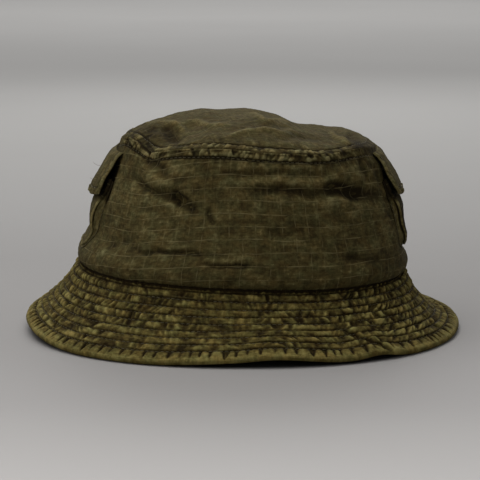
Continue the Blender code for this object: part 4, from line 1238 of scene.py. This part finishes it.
for label, sign in (("left", -1), ("right", 1)):
    leaf_f, leaf_p = label + "_flap_leaf", label + "_pocket_leaf"
    across = 1 if sign > 0 else -1

    # flap outer ply and facing
    nu, nv = fine(168, 4), fine(68, 4)
    u, v = np.meshgrid(np.linspace(-1, 1, nu + 1) * across, np.linspace(1, 0, nv + 1), indexing="ij")
    y = u * FLAP_HALF
    p = flap_surface(sign, y, v)
    n = normals(p)
    tall = (FLAP_HIGH - FLAP_LOW) / MM
    d_side = (1 - np.abs(u)) * FLAP_HALF / MM
    d_low = (1 - v) * tall
    d = np.minimum(d_side, d_low)
    d = np.where((d_side < 5) & (d_low < 5), 5 - np.hypot(5 - d_side, 5 - d_low), d)
    edge = rounded(d, 1.3)
    arc, down = y / MM, v * tall
    hem = 1 - smooth(d, 3.3, 4.2)
    pk = noise2(arc / 3.2, down / 3.2, 72 + sign) + 0.6 * noise2(arc / 1.7, down / 1.7, 74)
    h = 0.50 * noise2(arc / 12, down / 9, 75) + 0.20 * noise2(arc / 5, down / 5, 76) + 0.10 * noise2(arc / 2, down / 2, 89)
    h = h + hem * (0.20 + 0.45 * pk) - 0.35 * bell(d, 4.0, 0.5) * (1 + 0.3 * pk)
    h = h * smooth(v * tall, 0, 4)
    outer = p + n * ((0.15 * MM + (0.85 * MM + h * MM) * edge))[..., None]
    inner = (p + n * 0.05 * MM)[::4, ::4]
    # ridges lighter and hollows darker, wear and painted shade together; lighter at the hem's edge; painted shade along
    # the stitch groove
    wear_and_shade = (h - blur(h, 6, 6)) * 0.9 + 0.50 * bell(d, 0.2, 1.5) - 0.3 * bell(d, 4.0, 0.7)
    grain = np.stack((arc * 0.99 + down * 0.06, down - arc * 0.06), -1)
    flap = shell(label + "_flap_cover", outer, inner, wear_and_shade, grain, flap_cloth, None, "ripstop_olive", (label + "_flap_outer",))
    outer = p - n * 0.02 * MM
    inner2 = p - n * ((0.10 + 0.60 * edge) * MM)[..., None]
    facing = shell(label + "_flap_lining", outer[:, ::1], inner2[:, ::1], wear_and_shade * 0.4 - 0.2, grain, inside_cloth, None, "ripstop_olive_inside",
                   (label + "_flap_facing",))

    # the flap's rows of stitches
    e = 4.0 * MM
    tallm = (FLAP_HIGH - FLAP_LOW)
    path = [(-FLAP_HALF + e, k) for k in np.linspace(0.10, 1 - e / tallm, 60)]
    path += [(k, 1 - e / tallm) for k in np.linspace(-FLAP_HALF + e, FLAP_HALF - e, 140)[1:]]
    path += [(FLAP_HALF - e, k) for k in np.linspace(1 - e / tallm, 0.10, 60)[1:]]
    py_, pv_ = np.array(path).T
    q = flap_surface(sign, py_, pv_)
    dy = flap_surface(sign, py_ + 1e-4, pv_) - flap_surface(sign, py_ - 1e-4, pv_)
    dz = flap_surface(sign, py_, pv_ - 1e-3) - flap_surface(sign, py_, pv_ + 1e-3)
    nq = np.cross(dy, dz) * sign
    nq /= np.linalg.norm(nq, axis=-1, keepdims=True)
    row = stitches(label + "_flap_stitches", q + nq * 0.66 * MM, nq, pale_thread, 2.3 * MM, 0.5 * MM, 0.17 * MM, 0.05 * MM,
                   slot="sewing_thread", replaces=(label + "_flap_stitch_row",))

    # hook patch inside the flap
    zt = np.linspace(80.4, 88.0, 9) * MM
    uu, zz = np.meshgrid(np.linspace(-1, 1, 25) * across, zt, indexing="ij")
    yy = uu * 15 * MM
    low = flap_low(yy)
    high = FLAP_HIGH + 0.6 * MM
    q = flap_surface(sign, yy, (zz - high) / (low - high))
    nq = normals(q)
    rough = 0.12 * MM * noise2(yy / MM / 0.9, zz / MM / 0.9, 77)
    hooks = shell(label + "_flap_hooks", q - nq * 0.75 * MM, q - nq * (1.02 * MM + rough * 0.6)[..., None], np.zeros(yy.shape),
                  np.stack((yy / MM, zz / MM), -1), hooks_cloth, None, "hook_and_loop", (label + "_flap_hook_tape",))

    pieces = [flap, facing, row, hooks]
    if sign < 0:
        ends = []
        for y0, v0, reach, rise, curl in ((-9, 0.42, 5.5, 2.6, 1.0), (-20, 0.66, 4.8, 0.6, -1.2), (14, 0.93, 3.4, -1.0, 0.8)):
            k = np.linspace(0, 1, 14)
            at = flap_surface(sign, np.array([y0 * MM]), np.array([v0]))[0]
            ends.append(at + np.stack((sign * (reach * k), curl * np.sin(3.1 * k), rise * k ** 1.6 + 0.3 * np.sin(7 * k)), -1) * MM)
        pieces.append(loose_threads(label + "_flap_loose_threads", ends, 0.11 * MM))
    for piece in pieces:
        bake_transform(piece)

    # pocket front
    nu, nv = fine(156, 4), fine(100, 4)
    u, v = np.meshgrid(np.linspace(-1, 1, nu + 1) * across, np.linspace(0, 1, nv + 1), indexing="ij")
    z = POCKET_LOW + (POCKET_HIGH - POCKET_LOW) * v ** 1.2
    half = pocket_half(z)
    y = u * half
    d_side = (1 - np.abs(u)) * half / MM
    d_low = (z - POCKET_LOW) / MM
    d = np.minimum(d_side, d_low)
    d_top = (POCKET_HIGH - z) / MM
    edge = rounded(np.minimum(d, d_top), 1.0)
    arc, tl = y / MM, z / MM
    pk = noise2(arc / 3.1, tl / 3.1, 81 + sign) + 0.5 * noise2(arc / 1.6, tl / 1.6, 82)
    h = 0.5 * noise2(arc / 17, tl / 12, 83 + sign) + 0.25 * (1 - 2 * np.abs(noise2(arc / 12, tl / 8, 84))) + 0.08 * noise2(arc / 3, tl / 3, 85)
    hem = 1 - smooth(d, 1.9, 2.7)
    h = h * smooth(d, 1, 6) * smooth(POCKET_HIGH / MM + 4 - tl, 4, 26) + hem * (0.25 + 0.4 * pk) - 0.35 * bell(d, 2.3, 0.5)
    h = h + (1 - smooth(d_top, 7.5, 8.5)) * 0.35 - 0.35 * bell(d_top, 8.4, 0.5)
    p = side_off(sign, y, z, pocket_depth(sign, y, z))
    n = normals(p)
    outer = p + n * ((0.10 + (0.72 + 0.9 * h) * edge) * MM)[..., None]
    inner = p[::4, ::4]
    # lighter at the edges below the flap; painted shade on the pocket's upper corners under the flap
    wear_and_shade = (h - blur(h, 4, 4)) * 1.2 + 0.6 * bell(d, 0.3, 1.3) * (1 - smooth(tl, 76, 80)) - 1.6 * smooth(tl, 77, 82) * smooth(np.abs(u), 0.6, 0.9)
    # painted shade on the front half of the right pocket, which faces away from the light
    if sign > 0:
        wear_and_shade = wear_and_shade - 1.3 * smooth(-arc, 2, 20) * bell(tl, 65, 9) * (1 - 0.6 * bell(d, 0.3, 1.3))
    grain = np.stack((arc * 0.995 + tl * 0.05, tl - arc * 0.05), -1)
    front = shell(label + "_pocket_panel", outer, inner, wear_and_shade, grain, flap_cloth, leaf_p, "ripstop_olive", (label + "_pocket_front",))

    zt = np.linspace(80.4, 88.0, 9) * MM
    uu, zz = np.meshgrid(np.linspace(-1, 1, 25) * across, zt, indexing="ij")
    yy = uu * 15 * MM
    q = side_off(sign, yy, zz, pocket_depth(sign, yy, zz) + 1.0 * MM)
    nq = normals(q)
    rough = 0.12 * MM * noise2(yy / MM / 0.9, zz / MM / 0.9, 78)
    shell(label + "_pocket_loops", q + nq * (0.45 * MM + rough)[..., None], q, np.zeros(yy.shape),
          np.stack((yy / MM, zz / MM), -1), hooks_cloth, leaf_p, "hook_and_loop", (label + "_pocket_loop_tape",))

    # gusset: from the wall out to the pocket front, folded inwards along its middle
    def outline(inset, count, high=POCKET_HIGH - 1 * MM):
        hf, lw, cr = POCKET_HALF - inset, POCKET_LOW + inset, max(POCKET_CORNER - inset, 1 * MM)
        down, bend, flat = high - lw - cr, cr * math.pi / 2, 2 * (hf - cr)
        total = 2 * down + 2 * bend + flat
        s = np.linspace(0, total, count)
        m = np.minimum(s, total - s)
        a = np.clip((m - down) / cr, 0, math.pi / 2)
        yy_ = np.where(m <= down, -hf, np.where(m <= down + bend, -hf + cr - cr * np.cos(a), -hf + cr + (m - down - bend)))
        zz_ = np.where(m <= down, high - m, np.where(m <= down + bend, lw + cr - cr * np.sin(a), lw))
        return np.where(s > total / 2, -yy_, yy_), zz_

    cols, rows_ = fine(240, 4), 28
    w = np.linspace(0, 1, rows_ + 1)
    ys, zs = outline(0.0, cols + 1)
    if sign < 0:
        ys, zs = ys[::-1], zs[::-1]
    away = np.hypot(ys, zs - POCKET_HIGH)
    s_arc = np.concatenate(([0], np.cumsum(np.hypot(np.diff(ys), np.diff(zs))))) / MM
    pull_wave = 0.6 + 0.4 * noise2(s_arc / 18, s_arc * 0, 86 + sign)
    deep_share = np.clip(pocket_depth(sign, ys, zs) / (5 * MM), 0.1, 1.1)[:, None]
    pull = (2.0 * bell(w, 0.84, 0.085) + 0.7 * np.sin(np.pi * w))[None, :] * MM * pull_wave[:, None] * deep_share
    pull = pull - 1.7 * MM * bell(w, 0.0, 0.10)[None, :]
    yg = ys[:, None] - ys[:, None] / away[:, None] * pull
    zg = zs[:, None] + (POCKET_HIGH - zs)[:, None] / away[:, None] * pull
    depth = (0.15 * MM + (pocket_depth(sign, ys, zs)[:, None] - 0.1 * MM) * w[None, :] ** 0.9)
    q = side_off(sign, yg, zg, depth)
    crinkle = 0.35 * MM * (noise2(s_arc[:, None] / 3.0 + 0 * w, w[None] * 3 + 0 * ys[:, None], 87 + sign))
    nq = normals(q)
    q = q + nq * crinkle[..., None]
    back = q - nq * 0.5 * MM
    # painted shade in the fold of the gusset and along its sewn edge, lighter across its middle
    wear_and_shade = (0.25 * bell(w, 0.45, 0.25) - 1.1 * bell(w, 0.84, 0.07) - 0.7 * bell(w, 0.03, 0.04) + 0.35)[None, :] + crinkle / MM * 0.8
    # painted shade on the gusset's top, under the flap
    wear_and_shade = wear_and_shade - 1.6 * smooth(zs / MM, 77, 82)[:, None]
    # painted shade in the hollow of the right pocket's gusset
    if sign > 0:
        wear_and_shade = wear_and_shade - (2.2 * bell(w, 0.80, 0.20))[None, :] * (smooth(zs / MM, 56, 62) * (1 - smooth(zs / MM, 74, 80)))[:, None]
    grain = np.stack((s_arc[:, None] + 0 * w[None], w[None] * 8 + 0 * s_arc[:, None]), -1)
    gusset = shell(label + "_gusset_fold", q, back[::4, ::4], wear_and_shade, grain, flap_cloth, None, "ripstop_olive", (label + "_pocket_gusset",))
    base_x = float(side_off(sign, np.array(0.0), np.array(POCKET_LOW), 0.2 * MM)[0])
    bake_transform(gusset)

    ys, zs = outline(-1.7 * MM, 400, 77 * MM)
    q = side_off(sign, ys, zs, 0.45 * MM + 0 * ys)
    e_ = 5e-4
    dy = side_base(sign, ys + e_, zs) - side_base(sign, ys - e_, zs)
    dz = side_base(sign, ys, zs + e_) - side_base(sign, ys, zs - e_)
    nq = np.cross(dy, dz) * sign
    nq /= np.linalg.norm(nq, axis=-1, keepdims=True)
    stitches(label + "_pocket_stitches", q, nq, thread, 2.3 * MM, 0.5 * MM, 0.17 * MM, 0.0,
             body="hat_body", slot="sewing_thread", replaces=(label + "_pocket_stitch_row",))

# ---------------------------------------------------------------- stage, light and camera
def floor_material():
    g = Graph("pale_floor")
    co = g.node("ShaderNodeTexCoord").outputs["Object"]
    cloud = g.noise(g.mapped(co, (1.2, 1.2, 1.2)), 1.0, 4.0, 0.55)
    sep = g.node("ShaderNodeSeparateXYZ")
    g.put(sep.inputs[0], co)
    far = g.math("MULTIPLY_ADD", sep.outputs["Y"], 1 / 4.2, 0.4 / 4.2, clamp=True)
    # the contact shadow: the floor is dark where the brim covers it
    across = g.math("POWER", g.math("ABSOLUTE", g.math("DIVIDE", sep.outputs["X"], 0.1290)), N_PLAN)
    deep = g.math("POWER", g.math("ABSOLUTE", g.math("DIVIDE", sep.outputs["Y"], 0.1320)), N_PLAN)
    covered = g.node("ShaderNodeMapRange", interpolation_type="SMOOTHSTEP")
    g.put(covered.inputs["Value"], g.math("ADD", across, deep))
    for socket, value in zip(("From Min", "From Max", "To Min", "To Max"), (0.93, 1.0, 0.22, 1.0)):
        covered.inputs[socket].default_value = value
    # painted light and shade on the floor: bright near the camera, a darker band round the hat standing for its soft
    # shadow, lighter again far behind
    pale = g.ramp(far, ((0.010, (0.46, 0.45, 0.446)), (0.045, (0.325, 0.317, 0.316)), (0.080, (0.262, 0.255, 0.254)),
                        (0.150, (0.255, 0.250, 0.248)), (0.20, (0.285, 0.281, 0.279)), (0.42, (0.40, 0.397, 0.392)), (1.0, (0.50, 0.497, 0.49))))
    shade = g.ramp(cloud, ((0.3, (0.95, 0.95, 0.95)), (0.7, (1.0, 1.0, 1.0))))
    both = g.node("ShaderNodeMix", data_type="RGBA", blend_type="MULTIPLY")
    both.inputs["Factor"].default_value = 1.0
    g.put(both.inputs["A"], pale)
    g.put(both.inputs["B"], shade)
    g.put(g.shader.inputs["Base Color"], g.mix(covered.outputs[0], (0.0, 0.0, 0.0, 1), both.outputs["Result"]))
    g.shader.inputs["Roughness"].default_value = 0.7
    g.shader.inputs["Specular IOR Level"].default_value = 0.2
    # clear from below, so the hat's underside can be looked at
    clear, both_ways = g.node("ShaderNodeBsdfTransparent"), g.node("ShaderNodeMixShader")
    g.put(both_ways.inputs[0], g.node("ShaderNodeNewGeometry").outputs["Backfacing"])
    g.put(both_ways.inputs[1], g.shader.outputs[0])
    g.put(both_ways.inputs[2], clear.outputs[0])
    g.put(g.tree.nodes["Material Output"].inputs["Surface"], both_ways.outputs[0])
    return g.mat


def add_floor():
    xs, ys = np.linspace(-9, 9, 7), np.linspace(-3, 16, 9)
    verts = [(x, y, 0.0) for x in xs for y in ys]
    n = len(ys)
    faces = [(i * n + j, (i + 1) * n + j, (i + 1) * n + j + 1, i * n + j + 1) for i in range(len(xs) - 1) for j in range(n - 1)]
    mesh = bpy.data.meshes.new("studio_floor")
    mesh.from_pydata(verts, [], faces)
    mesh.materials.append(floor_material())
    obj = bpy.data.objects.new("studio_floor", mesh)
    bpy.context.scene.collection.objects.link(obj)
    return obj


add_floor()
scene = bpy.context.scene
scene.view_settings.view_transform = "Standard"
world = bpy.data.worlds.new("studio")
scene.world = world
world.use_nodes = True
world.node_tree.nodes["Background"].inputs["Color"].default_value = (1.0, 0.985, 0.97, 1)
world.node_tree.nodes["Background"].inputs["Strength"].default_value = 0.28


def area(name, at, aim, size, power, colour=(1, 1, 1), size_y=None):
    light = bpy.data.lights.new(name, "AREA")
    light.energy = power
    light.color = colour
    light.size = size
    if size_y:
        light.shape = "RECTANGLE"
        light.size_y = size_y
    obj = bpy.data.objects.new(name, light)
    obj.location = at
    obj.rotation_mode = "QUATERNION"
    obj.rotation_quaternion = (Vector(aim) - Vector(at)).to_track_quat("-Z", "Y")
    bpy.context.scene.collection.objects.link(obj)
    return obj


area("soft_top", (-0.35, 0.15, 1.5), (0.0, 0.0, 0.05), 1.3, 17, (1.0, 0.985, 0.96))
area("soft_left", (-1.1, -0.7, 0.8), (0.0, 0.0, 0.06), 0.9, 4.5, (1.0, 0.985, 0.97))
area("front_fill", (0.3, -1.7, 0.7), (0.0, 0.0, 0.05), 1.2, 2.5)
area("backdrop", (0.0, 4.2, 2.6), (0.0, 4.0, 0.0), 3.4, 60, (1.0, 0.99, 0.98))
area("soft_back", (0.1, 1.5, 1.0), (0.0, 0.0, 0.08), 1.0, 5, (1.0, 0.99, 0.97))

camera = bpy.data.cameras.new("camera")
camera.sensor_width = 36
camera.lens = 1987 / 480 * 36
camera.clip_start, camera.clip_end = 0.05, 50
cam = bpy.data.objects.new("camera", camera)
target = Vector((0, 0, 0.06))
back = Vector((0, -math.cos(CAM_E), math.sin(CAM_E)))
cam.location = target + back * CAM_D
cam.rotation_mode = "QUATERNION"
cam.rotation_quaternion = (-back).to_track_quat("-Z", "Y")
camera.shift_x = (240 - 242.5) / 480
camera.shift_y = (223 - 240) / 480
scene.collection.objects.link(cam)
scene.camera = cam
